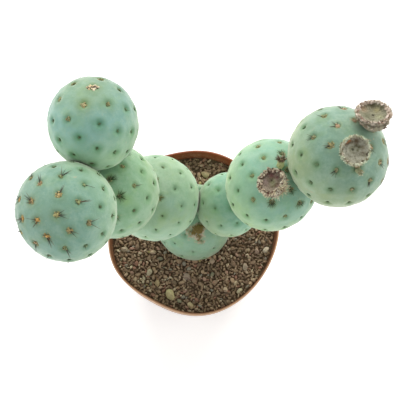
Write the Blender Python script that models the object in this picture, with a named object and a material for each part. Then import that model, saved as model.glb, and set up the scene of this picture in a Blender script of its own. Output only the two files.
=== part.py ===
"""Potted tephrocactus: a ball-jointed cactus that stands in a thin plastic pot of grit.

Metres, +Z up. The origin is the middle of the pot's underside. The plant forks along X: four balls
climb to the left (-X) and three to the right (+X) of the base ball, which is half sunk in the grit.
"""
import math
import random
from dataclasses import dataclass, field

import bmesh
import bpy
from mathutils import Vector
from mathutils.geometry import delaunay_2d_cdt

# Clearance between pieces that touch
GAP = 0.0003

# Edges sharper than this many degrees are left unsmoothed
POT_CREASE = 30
GRIT_CREASE = 25
PLANT_CREASE = 50

# Pot: a tapered wall, a rim band that stands out from it, and a raised floor between two feet
SECTORS = 48
POT_HEIGHT = 0.0820
RIM_RADIUS = 0.0525
RIM_LIP = 0.0013
RIM_EDGE = 0.0005
BAND_DEPTH = 0.0110
BAND_TAPER = 0.0009
BAND_STEP = 0.0024
STEP_RISE = 0.0014
BASE_RADIUS = 0.0370
FLOOR_LEVEL = 0.0029
FLOOR_RADIUS = 0.0352
FOOT_RING_INNER = 0.0315
FOOT_DISC_RADIUS = 0.0125
FOOT_SLOPE = 0.0015
DRAIN_RISE = 0.0016
DRAIN_HOLES = 6
DRAIN_RADIUS = 0.0032
DRAIN_CIRCLE = 0.0220
DRAIN_SIDES = 12
DRAIN_CUT = 4 * FLOOR_LEVEL

# The thin rim is pressed out of round, fading to the foot. Each wave has its number of lobes, how far
# they stand out and the turn of one of them.
RIM_WAVES = (
    (2, 0.0005, math.radians(-8)),
    (3, 0.0005, math.radians(30)),
    (4, 0.0005, math.radians(22)),
    (5, 0.0007, math.radians(-4)),
    (6, 0.0004, math.radians(23)),
)

# Grit: its level, its swell in the middle, its bank at the wall and its grain
SOIL_DROP = 0.0098
SOIL_LEVEL = POT_HEIGHT - SOIL_DROP
SOIL_SWELL = 0.0006
BANK_RISE = 0.0015
BANK_START = 0.0380
BANK_WIDTH = 0.0120
SOIL_BED = 0.7 * GAP
GRAIN = 0.0043
GRAIN_RISE = (0.0002, 0.0013)
GRAIN_SINK = (0.0003, 0.0010)
GRAIN_WALL_CLEAR = 0.4 * GRAIN
GRAIN_PEBBLE_CLEAR = 0.45 * GRAIN
GRAIN_TRIES = 9000
GRAIN_SEED = 11
HOLE_SIDES = 32
HOLE_CLEARANCE = 0.00045
HOLE_MARGIN = 0.0019
PEBBLE_SIDES = 6
PEBBLE_UNEVEN = 0.18
PEBBLE_SHOULDER = 0.62
SAME_POINT = 1e-7

# Bigger pebbles in the grit: X, Y, radius, height above the grit
PEBBLES = (
    (-0.0133, -0.0392, 0.0034, 0.0022),
    (-0.0425, -0.0100, 0.0026, 0.0018),
    (-0.0269, -0.0252, 0.0023, 0.0015),
    (-0.0012, -0.0458, 0.0023, 0.0014),
    (0.0288, -0.0365, 0.0020, 0.0015),
    (0.0455, -0.0105, 0.0022, 0.0016),
    (0.0325, -0.0217, 0.0026, 0.0015),
    (0.0122, -0.0178, 0.0020, 0.0014),
    (0.0077, 0.0385, 0.0025, 0.0017),
)

# Areoles: sunken wool pads, each in a shallow dimple of the skin
PAD_SIDES = 5
PAD_RADIUS = 0.00095
PAD_SINK = 0.00085
PAD_RISE = 0.00060
DIMPLE_SIDES = 5
DIMPLE_RADIUS = 0.0031
AREOLE_MARGIN = 0.0044
GOLDEN_ANGLE = math.pi * (3 - math.sqrt(5))

# Spines: each rises from one side of a pad and leans towards the segment's tip, where they are longest
SPINE_SPREAD = (0.75, 1.15)
SPINE_FADE = 0.35
SPINE_LEAN = (0.20, 0.85)
SPINE_SWAY = 0.8
SPINE_CLEAR = 0.0012
SECOND_SPINE = 0.22
TIP_ZONE = 0.55

# A ball's girth isn't quite round: shares of its radius, twice and three times round its axis
GIRTH_OVAL = 0.008
GIRTH_LOBES = 0.005

# Flats where two pieces meet
NECK_SIDES = 14
COLLAR = 0.0024
SEAT_SIDES = 8
SEAT_MARGIN = 0.0003
SEAT_BARE = 0.0022
BASE_FLAT_DEPTH = 0.0170
SOIL_CLEAR = 0.0042
SOIL_LINE_SIDES = 20
EDGE_HALVINGS = 30
NEARLY_UPRIGHT = 0.95

# Dry fruits: share of the length and share of the radius, up the outside and down into the cup
FRUIT_SECTORS = 16
FRUIT_SECTION = (
    (0.00, 0.48), (0.10, 0.58), (0.34, 0.82), (0.62, 0.97), (0.84, 1.00), (1.00, 0.94),
    (0.95, 0.80), (0.83, 0.64), (0.79, 0.44), (0.74, 0.24),
)
FRUIT_PIT = 0.60
FRUIT_RAGGED = 0.055
FRUIT_CREST = 5
BRISTLE_ROW = FRUIT_CREST - 1
SPARSE_BRISTLE_ROW = FRUIT_CREST - 3
BRISTLE_LENGTH = 0.0016
BRISTLE_LEAN = 0.5
BRISTLE_AXIS = 0.8

# Shrivelled buds: the same, closed at the tip
BUD_SECTORS = 8
BUD_SECTION = ((0.00, 0.80), (0.25, 1.00), (0.60, 0.86), (0.88, 0.92), (1.00, 0.55))
BUD_PIT = 0.90
BUD_RAGGED = 0.11


@dataclass
class Flat:
    """A plane that cuts a segment: its outward direction and its distance from the centre."""
    normal: Vector
    distance: float
    seat: bool = False


@dataclass
class Segment:
    """One ball of the stem."""
    centre: Vector
    radius: float
    axis: Vector
    areoles: int
    phase: float
    hand: int
    spine: float
    stretch: float = 1.0
    taper: float = 0.0
    flats: list = field(default_factory=list)


@dataclass
class Growth:
    """A dry fruit or bud: the segment that it stands on, and the ways its foot and its mouth face."""
    segment: str
    foot: Vector
    mouth: Vector
    radius: float
    length: float
    point: Vector = None


# Centre, radius across the axis, axis, areoles, angle of the first one, hand of the spiral, spine length
SEGMENTS = {
    "base_segment": Segment(
        Vector((0.0004, 0.0048, 0.0820)), 0.0233, Vector((-0.145, 0.026, 0.989)), 59, 27, -1, 0.0014),
    "left_segment_1": Segment(
        Vector((-0.0211, 0.0085, 0.1227)), 0.0250, Vector((-0.285, 0.074, 0.956)), 64, 307, -1, 0.0018),
    "left_segment_2": Segment(
        Vector((-0.0431, 0.0003, 0.1647)), 0.0254, Vector((-0.453, -0.125, 0.883)), 72, 185, 1, 0.0028),
    "left_segment_3": Segment(
        Vector((-0.0623, -0.0217, 0.2034)), 0.0253, Vector((-0.350, -0.312, 0.883)), 70, 199, 1, 0.0046,
        stretch=0.97),
    "left_segment_4": Segment(
        Vector((-0.0499, 0.0239, 0.2044)), 0.0232, Vector((-0.130, 0.453, 0.882)), 58, 95, 1, 0.0022,
        stretch=1.05, taper=0.03),
    "right_segment_1": Segment(
        Vector((0.0214, 0.0063, 0.1164)), 0.0189, Vector((0.574, 0.184, 0.798)), 44, 296, -1, 0.0014,
        stretch=1.02),
    "right_segment_2": Segment(
        Vector((0.0440, 0.0075, 0.1522)), 0.0255, Vector((0.439, 0.024, 0.898)), 65, 149, -1, 0.0022),
    "right_segment_3": Segment(
        Vector((0.0761, 0.0115, 0.1897)), 0.0263, Vector((0.525, 0.207, 0.826)), 70, 8, -1, 0.0030,
        stretch=0.98),
}

# Segments that grow on one another, and neighbours that press on one another
NECKS = (
    ("base_segment", "left_segment_1"),
    ("left_segment_1", "left_segment_2"),
    ("left_segment_2", "left_segment_3"),
    ("left_segment_2", "left_segment_4"),
    ("base_segment", "right_segment_1"),
    ("right_segment_1", "right_segment_2"),
    ("right_segment_2", "right_segment_3"),
)
PRESSED = (
    ("left_segment_1", "right_segment_1"),
    ("left_segment_3", "left_segment_4"),
)

FRUITS = {
    "dried_fruit_1": Growth(
        "right_segment_3", Vector((0.498, 0.395, 0.760)), Vector((-0.05, 0.450, 0.890)), 0.0086, 0.0095),
    "dried_fruit_2": Growth(
        "right_segment_3", Vector((0.125, -0.215, 0.969)), Vector((0.18, -0.330, 0.927)), 0.0076, 0.0085),
    "dried_fruit_3": Growth(
        "right_segment_2", Vector((-0.020, -0.290, 0.957)), Vector((-0.38, 0.180, 0.905)), 0.0076, 0.0090),
}
BUDS = {
    "dried_bud_1": Growth(
        "right_segment_2", Vector((0.115, 0.110, 0.987)), Vector((0.00, 0.600, 0.800)), 0.0020, 0.0060),
    "dried_bud_2": Growth(
        "right_segment_3", Vector((0.250, -0.530, 0.810)), Vector((0.30, -0.680, 0.670)), 0.0014, 0.0045),
}

# Colour and roughness of each material
STEM_SKIN = ((0.26, 0.42, 0.29), 0.6)
DRY_FRUIT = ((0.27, 0.23, 0.17), 0.9)
POT_PLASTIC = ((0.20, 0.065, 0.028), 0.5)
GRIT = ((0.12, 0.085, 0.055), 0.95)


def remove_everything():
    """Start from an empty scene."""
    for item in list(bpy.data.objects):
        bpy.data.objects.remove(item, do_unlink=True)


def finish(name, colour, roughness):
    """A Principled material."""
    material = bpy.data.materials.new(name)
    material.use_nodes = True
    shader = material.node_tree.nodes["Principled BSDF"]
    shader.inputs["Base Color"].default_value = (*colour, 1.0)
    shader.inputs["Roughness"].default_value = roughness
    shader.inputs["Metallic"].default_value = 0.0
    return material


def add_object(name, bm, location, material, parent, crease):
    """Turn a closed bmesh into a named object."""
    bmesh.ops.recalc_face_normals(bm, faces=bm.faces)
    if bm.calc_volume(signed=True) < 0:
        bmesh.ops.reverse_faces(bm, faces=bm.faces)
    mesh = bpy.data.meshes.new(name)
    bm.to_mesh(mesh)
    bm.free()
    mesh.shade_smooth()
    mesh.set_sharp_from_angle(angle=math.radians(crease))
    mesh.materials.append(material)
    made = bpy.data.objects.new(name, mesh)
    made.location = location
    made.parent = parent
    bpy.context.scene.collection.objects.link(made)
    return made


def bridge(bm, lower, upper):
    """Join two rings of as many points with triangles."""
    count = len(lower)
    for i in range(count):
        j = (i + 1) % count
        bm.faces.new((lower[i], lower[j], upper[j]))
        bm.faces.new((lower[i], upper[j], upper[i]))


def fan(bm, centre, ring):
    """Close a ring with triangles to a middle point."""
    for i, point in enumerate(ring):
        bm.faces.new((centre, point, ring[(i + 1) % len(ring)]))


def frame_about(axis):
    """Two directions square to an axis."""
    helper = Vector((0, 0, 1)) if abs(axis.z) < NEARLY_UPRIGHT else Vector((1, 0, 0))
    across = helper.cross(axis).normalized()
    return across, axis.cross(across)


def swing(axis, angle, turn):
    """The direction at an angle from an axis, turned round it."""
    across, up = frame_about(axis)
    side = across * math.cos(turn) + up * math.sin(turn)
    return axis * math.cos(angle) + side * math.sin(angle)


def squeezed(radius, turn, height):
    """A radius of the pot at a height, after its rim was pressed out of round."""
    share = (height / POT_HEIGHT) ** 2
    return radius + share * sum(rise * math.cos(lobes * (turn - start)) for lobes, rise, start in RIM_WAVES)


def pot_ring(bm, radius, height):
    """One ring of the pot or of the grit that fills it."""
    ring = []
    for i in range(SECTORS):
        turn = 2 * math.pi * i / SECTORS
        reach = squeezed(radius, turn, height)
        ring.append(bm.verts.new((reach * math.cos(turn), reach * math.sin(turn), height)))
    return ring


def inner_wall():
    """The pot's inner section from its floor to its rim: radius and height."""
    step_top = POT_HEIGHT - BAND_DEPTH + STEP_RISE
    band_foot = RIM_RADIUS - RIM_LIP - BAND_TAPER
    return (
        (FLOOR_RADIUS, FLOOR_LEVEL),
        (band_foot - BAND_STEP, POT_HEIGHT - BAND_DEPTH),
        (band_foot, step_top),
        (RIM_RADIUS - RIM_LIP, POT_HEIGHT - RIM_EDGE),
    )


def outer_wall():
    """The pot's outer section from the middle of its underside to its rim: radius and height."""
    step_foot = POT_HEIGHT - BAND_DEPTH
    band_foot = RIM_RADIUS - BAND_TAPER
    return (
        (FOOT_DISC_RADIUS, 0.0),
        (FOOT_DISC_RADIUS + FOOT_SLOPE, DRAIN_RISE),
        (FOOT_RING_INNER - FOOT_SLOPE, DRAIN_RISE),
        (FOOT_RING_INNER, 0.0),
        (BASE_RADIUS - RIM_EDGE, 0.0),
        (BASE_RADIUS, RIM_EDGE),
        (band_foot - BAND_STEP, step_foot),
        (band_foot, step_foot + RIM_EDGE),
        (RIM_RADIUS, POT_HEIGHT - RIM_EDGE),
        (RIM_RADIUS - RIM_EDGE, POT_HEIGHT),
    )


def make_pot(parent):
    """The pot: its section swept round Z, with drain holes cut through its floor."""
    bm = bmesh.new()
    section = outer_wall() + ((RIM_RADIUS - RIM_LIP + RIM_EDGE / 2, POT_HEIGHT),) + inner_wall()[::-1]
    rings = [pot_ring(bm, radius, height) for radius, height in section]
    for lower, upper in zip(rings, rings[1:]):
        bridge(bm, lower, upper)
    fan(bm, bm.verts.new((0, 0, 0)), rings[0])
    fan(bm, bm.verts.new((0, 0, FLOOR_LEVEL)), rings[-1])
    pot = add_object("pot", bm, (0, 0, 0), finish("pot_plastic", *POT_PLASTIC), parent, POT_CREASE)
    drill_drain_holes(pot, parent)
    return pot


def drill_drain_holes(pot, parent):
    """One cutter of upright pins takes the drain holes out of the floor."""
    bm = bmesh.new()
    for i in range(DRAIN_HOLES):
        turn = 2 * math.pi * (i + 0.5) / DRAIN_HOLES
        made = bmesh.ops.create_cone(
            bm, cap_ends=True, segments=DRAIN_SIDES, radius1=DRAIN_RADIUS, radius2=DRAIN_RADIUS,
            depth=DRAIN_CUT)
        place = Vector((DRAIN_CIRCLE * math.cos(turn), DRAIN_CIRCLE * math.sin(turn), FLOOR_LEVEL))
        bmesh.ops.translate(bm, verts=made["verts"], vec=place)
    cutter = add_object("drain_cutter", bm, (0, 0, 0), pot.data.materials[0], parent, POT_CREASE)
    cutter.hide_render = True
    cutter.display_type = "WIRE"
    holes = pot.modifiers.new("drain_holes", "BOOLEAN")
    holes.operation = "DIFFERENCE"
    holes.solver = "EXACT"
    holes.object = cutter


def hole_radius(height):
    """Radius of the plain hole in the grit that the base ball sits in."""
    base = SEGMENTS["base_segment"]
    drop = base.centre.z - height
    return math.sqrt(base.radius ** 2 - drop ** 2) + HOLE_CLEARANCE


def pebble_points(number):
    """The middle of a pebble and its shoulder, as X, Y and height over the grit."""
    x, y, radius, rise = PEBBLES[number]
    points = [(x, y, rise)]
    for i in range(PEBBLE_SIDES):
        turn = 2 * math.pi * i / PEBBLE_SIDES + number
        reach = radius * (1 + PEBBLE_UNEVEN * math.cos(2 * turn + number))
        points.append((x + reach * math.cos(turn), y + reach * math.sin(turn), PEBBLE_SHOULDER * rise))
    return points


def grain_points(rng):
    """Scattered grains, a grain apart and clear of the wall, the plant and the pebbles."""
    base = SEGMENTS["base_segment"].centre
    hole = hole_radius(SOIL_LEVEL) + HOLE_MARGIN
    wall = inner_wall()[2][0] - GAP
    taken = []
    for _ in range(GRAIN_TRIES):
        reach = RIM_RADIUS * math.sqrt(rng.random())
        turn = rng.uniform(0, 2 * math.pi)
        x = reach * math.cos(turn)
        y = reach * math.sin(turn)
        if math.hypot(x - base.x, y - base.y) < hole:
            continue
        if reach > squeezed(wall, turn, SOIL_LEVEL) - GRAIN_WALL_CLEAR:
            continue
        if any(math.hypot(x - px, y - py) < size + GRAIN_PEBBLE_CLEAR for px, py, size, _ in PEBBLES):
            continue
        if all(math.hypot(x - gx, y - gy) > GRAIN for gx, gy in taken):
            taken.append((x, y))
    return taken


def crosses(edge, first, second):
    """Whether a line between two points, seen from above, passes between an edge's ends."""
    way = second - first
    sides = [way.x * (v.co.y - first.y) - way.y * (v.co.x - first.x) for v in edge.verts]
    return sides[0] * sides[1] < 0


def make_grit_top(bm, wall_ring, hole_ring, rng):
    """The grit's surface: every grain is a low peak, with the hollows between grains round it."""
    flat = [Vector((v.co.x, v.co.y)) for v in wall_ring + hole_ring]
    verts = list(wall_ring) + list(hole_ring)
    stone_of = [-1] * len(verts)
    for x, y in grain_points(rng):
        verts.append(bm.verts.new((x, y, SOIL_LEVEL + swell(x, y) + rng.uniform(*GRAIN_RISE))))
        stone_of.append(-1)
    for number in range(len(PEBBLES)):
        for x, y, rise in pebble_points(number):
            verts.append(bm.verts.new((x, y, SOIL_LEVEL + swell(x, y) + rise)))
            stone_of.append(number)
    flat += [Vector((v.co.x, v.co.y)) for v in verts[len(flat):]]
    triangles = delaunay_2d_cdt(flat, [], [], 0, SAME_POINT)[2]
    base = SEGMENTS["base_segment"].centre
    inner = hole_radius(SOIL_LEVEL) * math.cos(math.pi / HOLE_SIDES)
    loose = []
    for corners in triangles:
        middle = sum((flat[i] for i in corners), Vector((0, 0))) / 3
        if (middle - base.to_2d()).length < inner:
            continue
        face = bm.faces.new([verts[i] for i in corners])
        stones = {stone_of[i] for i in corners}
        if len(stones) > 1 or stones == {-1}:
            loose.append(face)
    sink_between_grains(bm, loose, rng)


def sink_between_grains(bm, loose, rng):
    """Sink the middle of each triangle of grains and turn its edges, so that grains stand alone."""
    ridges = [e for e in bm.edges if len(e.link_faces) == 2 and all(f in loose for f in e.link_faces)]
    low = bmesh.ops.poke(bm, faces=loose)["verts"]
    for vert in low:
        vert.co.z = SOIL_LEVEL + swell(vert.co.x, vert.co.y) - rng.uniform(*GRAIN_SINK)
    turned = []
    for edge in ridges:
        ends = [v for f in edge.link_faces for v in f.verts if v not in edge.verts]
        if crosses(edge, ends[0].co, ends[1].co):
            turned.append(edge)
    bmesh.ops.rotate_edges(bm, edges=turned, use_ccw=False)


def swell(x, y):
    """Rise of the grit's surface towards the middle of the pot and, near its wall, towards the wall."""
    reach = math.hypot(x, y)
    bank = BANK_RISE * max(0.0, (reach - BANK_START) / BANK_WIDTH) ** 2
    return SOIL_SWELL * (1 - (reach / RIM_RADIUS) ** 2) + bank


def make_soil(parent):
    """The grit: it fills the pot to its step, with a plain hole for the base ball."""
    rng = random.Random(GRAIN_SEED)
    bm = bmesh.new()
    side = [pot_ring(bm, radius - GAP, height + SOIL_BED) for radius, height in inner_wall()[:2]]
    step_radius = inner_wall()[2][0] - GAP
    wall_ring = pot_ring(bm, step_radius, SOIL_LEVEL)
    for vert in wall_ring:
        vert.co.z += swell(vert.co.x, vert.co.y)
    fan(bm, bm.verts.new((0, 0, FLOOR_LEVEL + SOIL_BED)), side[0])
    bridge(bm, side[0], side[1])
    bridge(bm, side[1], wall_ring)
    base = SEGMENTS["base_segment"].centre
    floor = base.z - BASE_FLAT_DEPTH - GAP
    rings = []
    for height in (SOIL_LEVEL, (SOIL_LEVEL + floor) / 2, floor):
        radius = hole_radius(height)
        turns = [2 * math.pi * i / HOLE_SIDES for i in range(HOLE_SIDES)]
        rings.append([bm.verts.new(
            (base.x + radius * math.cos(t), base.y + radius * math.sin(t), height)) for t in turns])
    for upper, lower in zip(rings, rings[1:]):
        bridge(bm, upper, lower)
    fan(bm, bm.verts.new((base.x, base.y, floor)), rings[-1])
    make_grit_top(bm, wall_ring, rings[0], rng)
    return add_object("soil", bm, (0, 0, 0), finish("grit", *GRIT), parent, GRIT_CREASE)


def skin(segment, way):
    """Distance from a segment's centre to its round skin."""
    along = way.dot(segment.axis)
    across = math.sqrt(max(0.0, 1.0 - along * along))
    side, up = frame_about(segment.axis)
    turn = math.atan2(way.dot(up), way.dot(side)) - math.radians(segment.phase)
    oval = GIRTH_OVAL * across ** 2 * math.cos(2 * turn)
    lobes = GIRTH_LOBES * across ** 3 * math.cos(3 * turn)
    round_reach = segment.radius / math.hypot(across, along / segment.stretch)
    return round_reach * (1 + oval + lobes) * (1 + segment.taper * along)


def surface(segment, way):
    """Distance from a segment's centre to its skin or to the flat that cuts it."""
    reach = skin(segment, way)
    for flat in segment.flats:
        facing = way.dot(flat.normal)
        if facing > 0:
            reach = min(reach, flat.distance / facing)
    return reach


def flat_edge(segment, flat, turn):
    """Angle from a flat's middle at which it meets the round skin."""
    low = 0.0
    high = math.pi / 2
    for _ in range(EDGE_HALVINGS):
        angle = (low + high) / 2
        way = swing(flat.normal, angle, turn)
        if skin(segment, way) * math.cos(angle) > flat.distance:
            low = angle
        else:
            high = angle
    return low


def cut_meeting_flats():
    """Cut segments that meet, each with a flat half a gap from the plane of their common circle."""
    for segment in SEGMENTS.values():
        segment.axis.normalize()
    for first_name, second_name in NECKS + PRESSED:
        first = SEGMENTS[first_name]
        second = SEGMENTS[second_name]
        line = second.centre - first.centre
        apart = line.length
        line.normalize()
        first_reach = skin(first, line)
        second_reach = skin(second, -line)
        plane = (apart ** 2 + first_reach ** 2 - second_reach ** 2) / (2 * apart)
        first.flats.append(Flat(line, plane - GAP / 2))
        second.flats.append(Flat(-line, apart - plane - GAP / 2))
    SEGMENTS["base_segment"].flats.append(Flat(Vector((0, 0, -1)), BASE_FLAT_DEPTH))


def cut_seats():
    """Cut a small flat seat for each fruit and bud, and note where its foot stands."""
    for growths, section in ((FRUITS, FRUIT_SECTION), (BUDS, BUD_SECTION)):
        for growth in growths.values():
            segment = SEGMENTS[growth.segment]
            way = growth.foot.normalized()
            foot_radius = growth.radius * section[0][1] + SEAT_MARGIN
            distance = math.sqrt(skin(segment, way) ** 2 - foot_radius ** 2)
            segment.flats.append(Flat(way, distance, seat=True))
            growth.point = segment.centre + way * (distance + GAP)


def areole_ways(segment):
    """Directions of a segment's areoles: one long spiral of golden-angle steps from its tip."""
    for i in range(segment.areoles):
        height = 1 - 2 * (i + 0.5) / segment.areoles
        turn = math.radians(segment.phase) + segment.hand * (i + 0.5) * GOLDEN_ANGLE
        yield swing(segment.axis, math.acos(height), turn)


def room_at(segment, way):
    """Distance along the skin from a direction to the edge of the nearest flat."""
    room = math.inf
    for flat in segment.flats:
        spread = math.acos(min(1.0, flat.distance / skin(segment, flat.normal)))
        bare = SEAT_BARE - AREOLE_MARGIN if flat.seat else 0.0
        room = min(room, (way.angle(flat.normal) - spread) * segment.radius - bare)
    return room


def is_buried(segment, way):
    """Whether a direction leads to skin at or under the grit."""
    point = segment.centre + way * skin(segment, way)
    return point.z < SOIL_LEVEL + SOIL_CLEAR


def is_clear(point, own):
    """Whether a point stays clear of every piece but its own segment."""
    for segment in SEGMENTS.values():
        if segment is own:
            continue
        away = point - segment.centre
        if away.length < skin(segment, away.normalized()) + SPINE_CLEAR:
            return False
    for growth in list(FRUITS.values()) + list(BUDS.values()):
        middle = growth.point + (growth.foot + growth.mouth).normalized() * growth.length / 2
        if (point - middle).length < max(growth.radius, growth.length / 2) + 2 * SPINE_CLEAR:
            return False
    return point.z > SOIL_LEVEL + SPINE_CLEAR + GRAIN_RISE[1]


def add_areole(points, segment, way):
    """Lay out an areole: its middle, its pad's edge and its dimple's edge. Returns the pad's points."""
    reach = surface(segment, way)
    pad = [(way, PAD_RISE - PAD_SINK)]
    for i in range(PAD_SIDES):
        turn = 2 * math.pi * i / PAD_SIDES
        pad.append((swing(way, PAD_RADIUS / reach, turn), -PAD_SINK))
    first = len(points)
    points.extend(pad)
    for i in range(DIMPLE_SIDES):
        turn = 2 * math.pi * (i + 0.5) / DIMPLE_SIDES
        points.append((swing(way, DIMPLE_RADIUS / reach, turn), 0.0))
    return list(range(first, first + PAD_SIDES + 1))


def soil_line(segment):
    """Directions to a ball's skin at the level of the grit and halfway down into it."""
    drop = segment.centre.z - SOIL_LEVEL
    for depth in (drop, (drop + BASE_FLAT_DEPTH) / 2):
        angle = math.acos(depth / segment.radius)
        for i in range(SOIL_LINE_SIDES):
            yield swing(Vector((0, 0, -1)), angle, 2 * math.pi * i / SOIL_LINE_SIDES)


def lay_out_segment(segment):
    """Directions and rises of a segment's points, and the points of its pads."""
    points = []
    if segment is SEGMENTS["base_segment"]:
        points.extend((way, 0.0) for way in soil_line(segment))
    pads = []
    for flat in segment.flats:
        sides = SEAT_SIDES if flat.seat else NECK_SIDES
        points.append((flat.normal, 0.0))
        for i in range(sides):
            turn = 2 * math.pi * i / sides
            angle = flat_edge(segment, flat, turn)
            points.append((swing(flat.normal, angle, turn), 0.0))
            if not flat.seat:
                turn += math.pi / sides
                points.append((swing(flat.normal, angle + COLLAR / segment.radius, turn), 0.0))
    for way in areole_ways(segment):
        room = room_at(segment, way)
        if room > AREOLE_MARGIN and not is_buried(segment, way):
            pads.append(add_areole(points, segment, way))
        elif room > DIMPLE_RADIUS and not is_buried(segment, way):
            points.append((way, 0.0))
    return points, pads


def raise_spine(bm, segment, corners, way, rng):
    """Draw one side of a pad out to a spine's tip, unless it would reach another piece."""
    tangent = segment.axis - way * segment.axis.dot(way)
    sway = Vector([rng.uniform(-1, 1) for _ in range(3)])
    lean = (tangent + SPINE_SWAY * sway).normalized() * rng.uniform(*SPINE_LEAN)
    length = segment.spine * rng.uniform(*SPINE_SPREAD) * (1 - SPINE_FADE * (1 - way.dot(segment.axis)))
    middle = sum((v.co for v in corners), Vector()) / 3
    tip = middle + (way + lean).normalized() * length
    if not is_clear(segment.centre + tip, segment):
        return
    face = next(f for f in corners[0].link_faces if all(v in f.verts for v in corners))
    bmesh.ops.poke(bm, faces=[face])["verts"][0].co = tip


def make_segment(name, material, parent):
    """A ball of the stem, with its flats, its sunken areoles and their spines."""
    segment = SEGMENTS[name]
    rng = random.Random(name)
    points, pads = lay_out_segment(segment)
    bm = bmesh.new()
    verts = [bm.verts.new(way) for way, _ in points]
    bmesh.ops.convex_hull(bm, input=verts)
    for vert, (way, rise) in zip(verts, points):
        vert.co = way * (surface(segment, way) + rise)
    for pad in pads:
        way = points[pad[0]][0]
        spines = 1 + (rng.random() < SECOND_SPINE) + (way.dot(segment.axis) > TIP_ZONE)
        start = rng.randrange(PAD_SIDES)
        for i in range(spines):
            side = (start + 2 * i) % PAD_SIDES
            corners = [verts[pad[k]] for k in (0, 1 + side, 1 + (side + 1) % PAD_SIDES)]
            raise_spine(bm, segment, corners, way, rng)
    return add_object(name, bm, segment.centre, material, parent, PLANT_CREASE)


def bent_line(growth, share):
    """Point and direction of a growth's bent middle line, from its foot."""
    half = growth.length / 2
    foot = growth.foot.normalized()
    mouth = growth.mouth.normalized()
    point = foot * half * (2 * share - share * share) + mouth * half * share * share
    return point, foot.lerp(mouth, share).normalized()


def growth_rings(bm, growth, section, sectors, ragged, rng):
    """Rings of a growth's section, square to its bent middle line."""
    rings = []
    for number, (share, reach) in enumerate(section):
        point, way = bent_line(growth, share)
        across = (Vector((1, 0, 0)) - way * way.x).normalized()
        up = way.cross(across)
        ring = []
        for i in range(sectors):
            turn = 2 * math.pi * i / sectors
            rough = 0.0 if number == 0 else rng.uniform(-ragged, ragged)
            radius = growth.radius * (reach + rough)
            side = across * math.cos(turn) + up * math.sin(turn)
            lift = way * growth.radius * (rough if number == FRUIT_CREST else 0.0)
            ring.append(bm.verts.new(point + side * radius + lift))
        rings.append(ring)
    return rings


def make_fruit(name, material, parent):
    """A dry cup-shaped fruit: a ragged rim, a dished top with a pit, and bristles below the rim."""
    growth = FRUITS[name]
    rng = random.Random(name)
    bm = bmesh.new()
    rings = growth_rings(bm, growth, FRUIT_SECTION, FRUIT_SECTORS, FRUIT_RAGGED, rng)
    for lower, upper in zip(rings, rings[1:]):
        bridge(bm, lower, upper)
    fan(bm, bm.verts.new((0, 0, 0)), rings[0])
    fan(bm, bm.verts.new(bent_line(growth, FRUIT_PIT)[0]), rings[-1])
    for row, step in ((BRISTLE_ROW, 1), (SPARSE_BRISTLE_ROW, 2)):
        for i in range(0, FRUIT_SECTORS, step):
            raise_bristle(bm, growth, rings[row], rings[row + 1], i)
    return add_object(name, bm, growth.point, material, parent, PLANT_CREASE)


def raise_bristle(bm, growth, lower, upper, i):
    """Draw one triangle of a fruit's wall out to a bristle."""
    j = (i + 1) % len(lower)
    corners = (lower[i], lower[j], upper[j])
    middle = sum((v.co for v in corners), Vector()) / 3
    axis_point, way = bent_line(growth, BRISTLE_AXIS)
    outward = (middle - axis_point).normalized()
    tip = middle + (outward + BRISTLE_LEAN * way).normalized() * BRISTLE_LENGTH
    away = growth.point + tip
    for segment in SEGMENTS.values():
        if (away - segment.centre).length < segment.radius + SPINE_CLEAR:
            return
    face = next(f for f in corners[0].link_faces if all(v in f.verts for v in corners))
    bmesh.ops.poke(bm, faces=[face])["verts"][0].co = tip


def make_bud(name, material, parent):
    """A shrivelled bud: a short bent stub with a ragged closed tip."""
    growth = BUDS[name]
    rng = random.Random(name)
    bm = bmesh.new()
    rings = growth_rings(bm, growth, BUD_SECTION, BUD_SECTORS, BUD_RAGGED, rng)
    for lower, upper in zip(rings, rings[1:]):
        bridge(bm, lower, upper)
    fan(bm, bm.verts.new((0, 0, 0)), rings[0])
    fan(bm, bm.verts.new(bent_line(growth, BUD_PIT)[0]), rings[-1])
    return add_object(name, bm, growth.point, material, parent, PLANT_CREASE)


def add_empty(name):
    """An empty that carries the pieces of one group."""
    made = bpy.data.objects.new(name, None)
    bpy.context.scene.collection.objects.link(made)
    return made


def main():
    """Build the pot, the grit and the plant."""
    remove_everything()
    potted = add_empty("potted_tephrocactus")
    plant = add_empty("plant")
    plant.parent = potted
    cut_meeting_flats()
    cut_seats()
    make_pot(potted)
    make_soil(potted)
    flesh = finish("stem_skin", *STEM_SKIN)
    dry = finish("dry_fruit", *DRY_FRUIT)
    for name in SEGMENTS:
        make_segment(name, flesh, plant)
    for name in FRUITS:
        make_fruit(name, dry, plant)
    for name in BUDS:
        make_bud(name, dry, plant)


main()
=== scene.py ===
"""Potted tephrocactus: the fine surface and the finish of every piece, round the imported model.

Metres, +Z up. The origin is the middle of the pot's underside. Each ball of the stem has its centre,
girth and flats from the same formulas as the model, with a finer skin, wool pads, glochids and spines.
Tones are screen values from 0 to 255, and a turn is an angle round an axis.
"""
import math
import random
from dataclasses import dataclass, field

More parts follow.
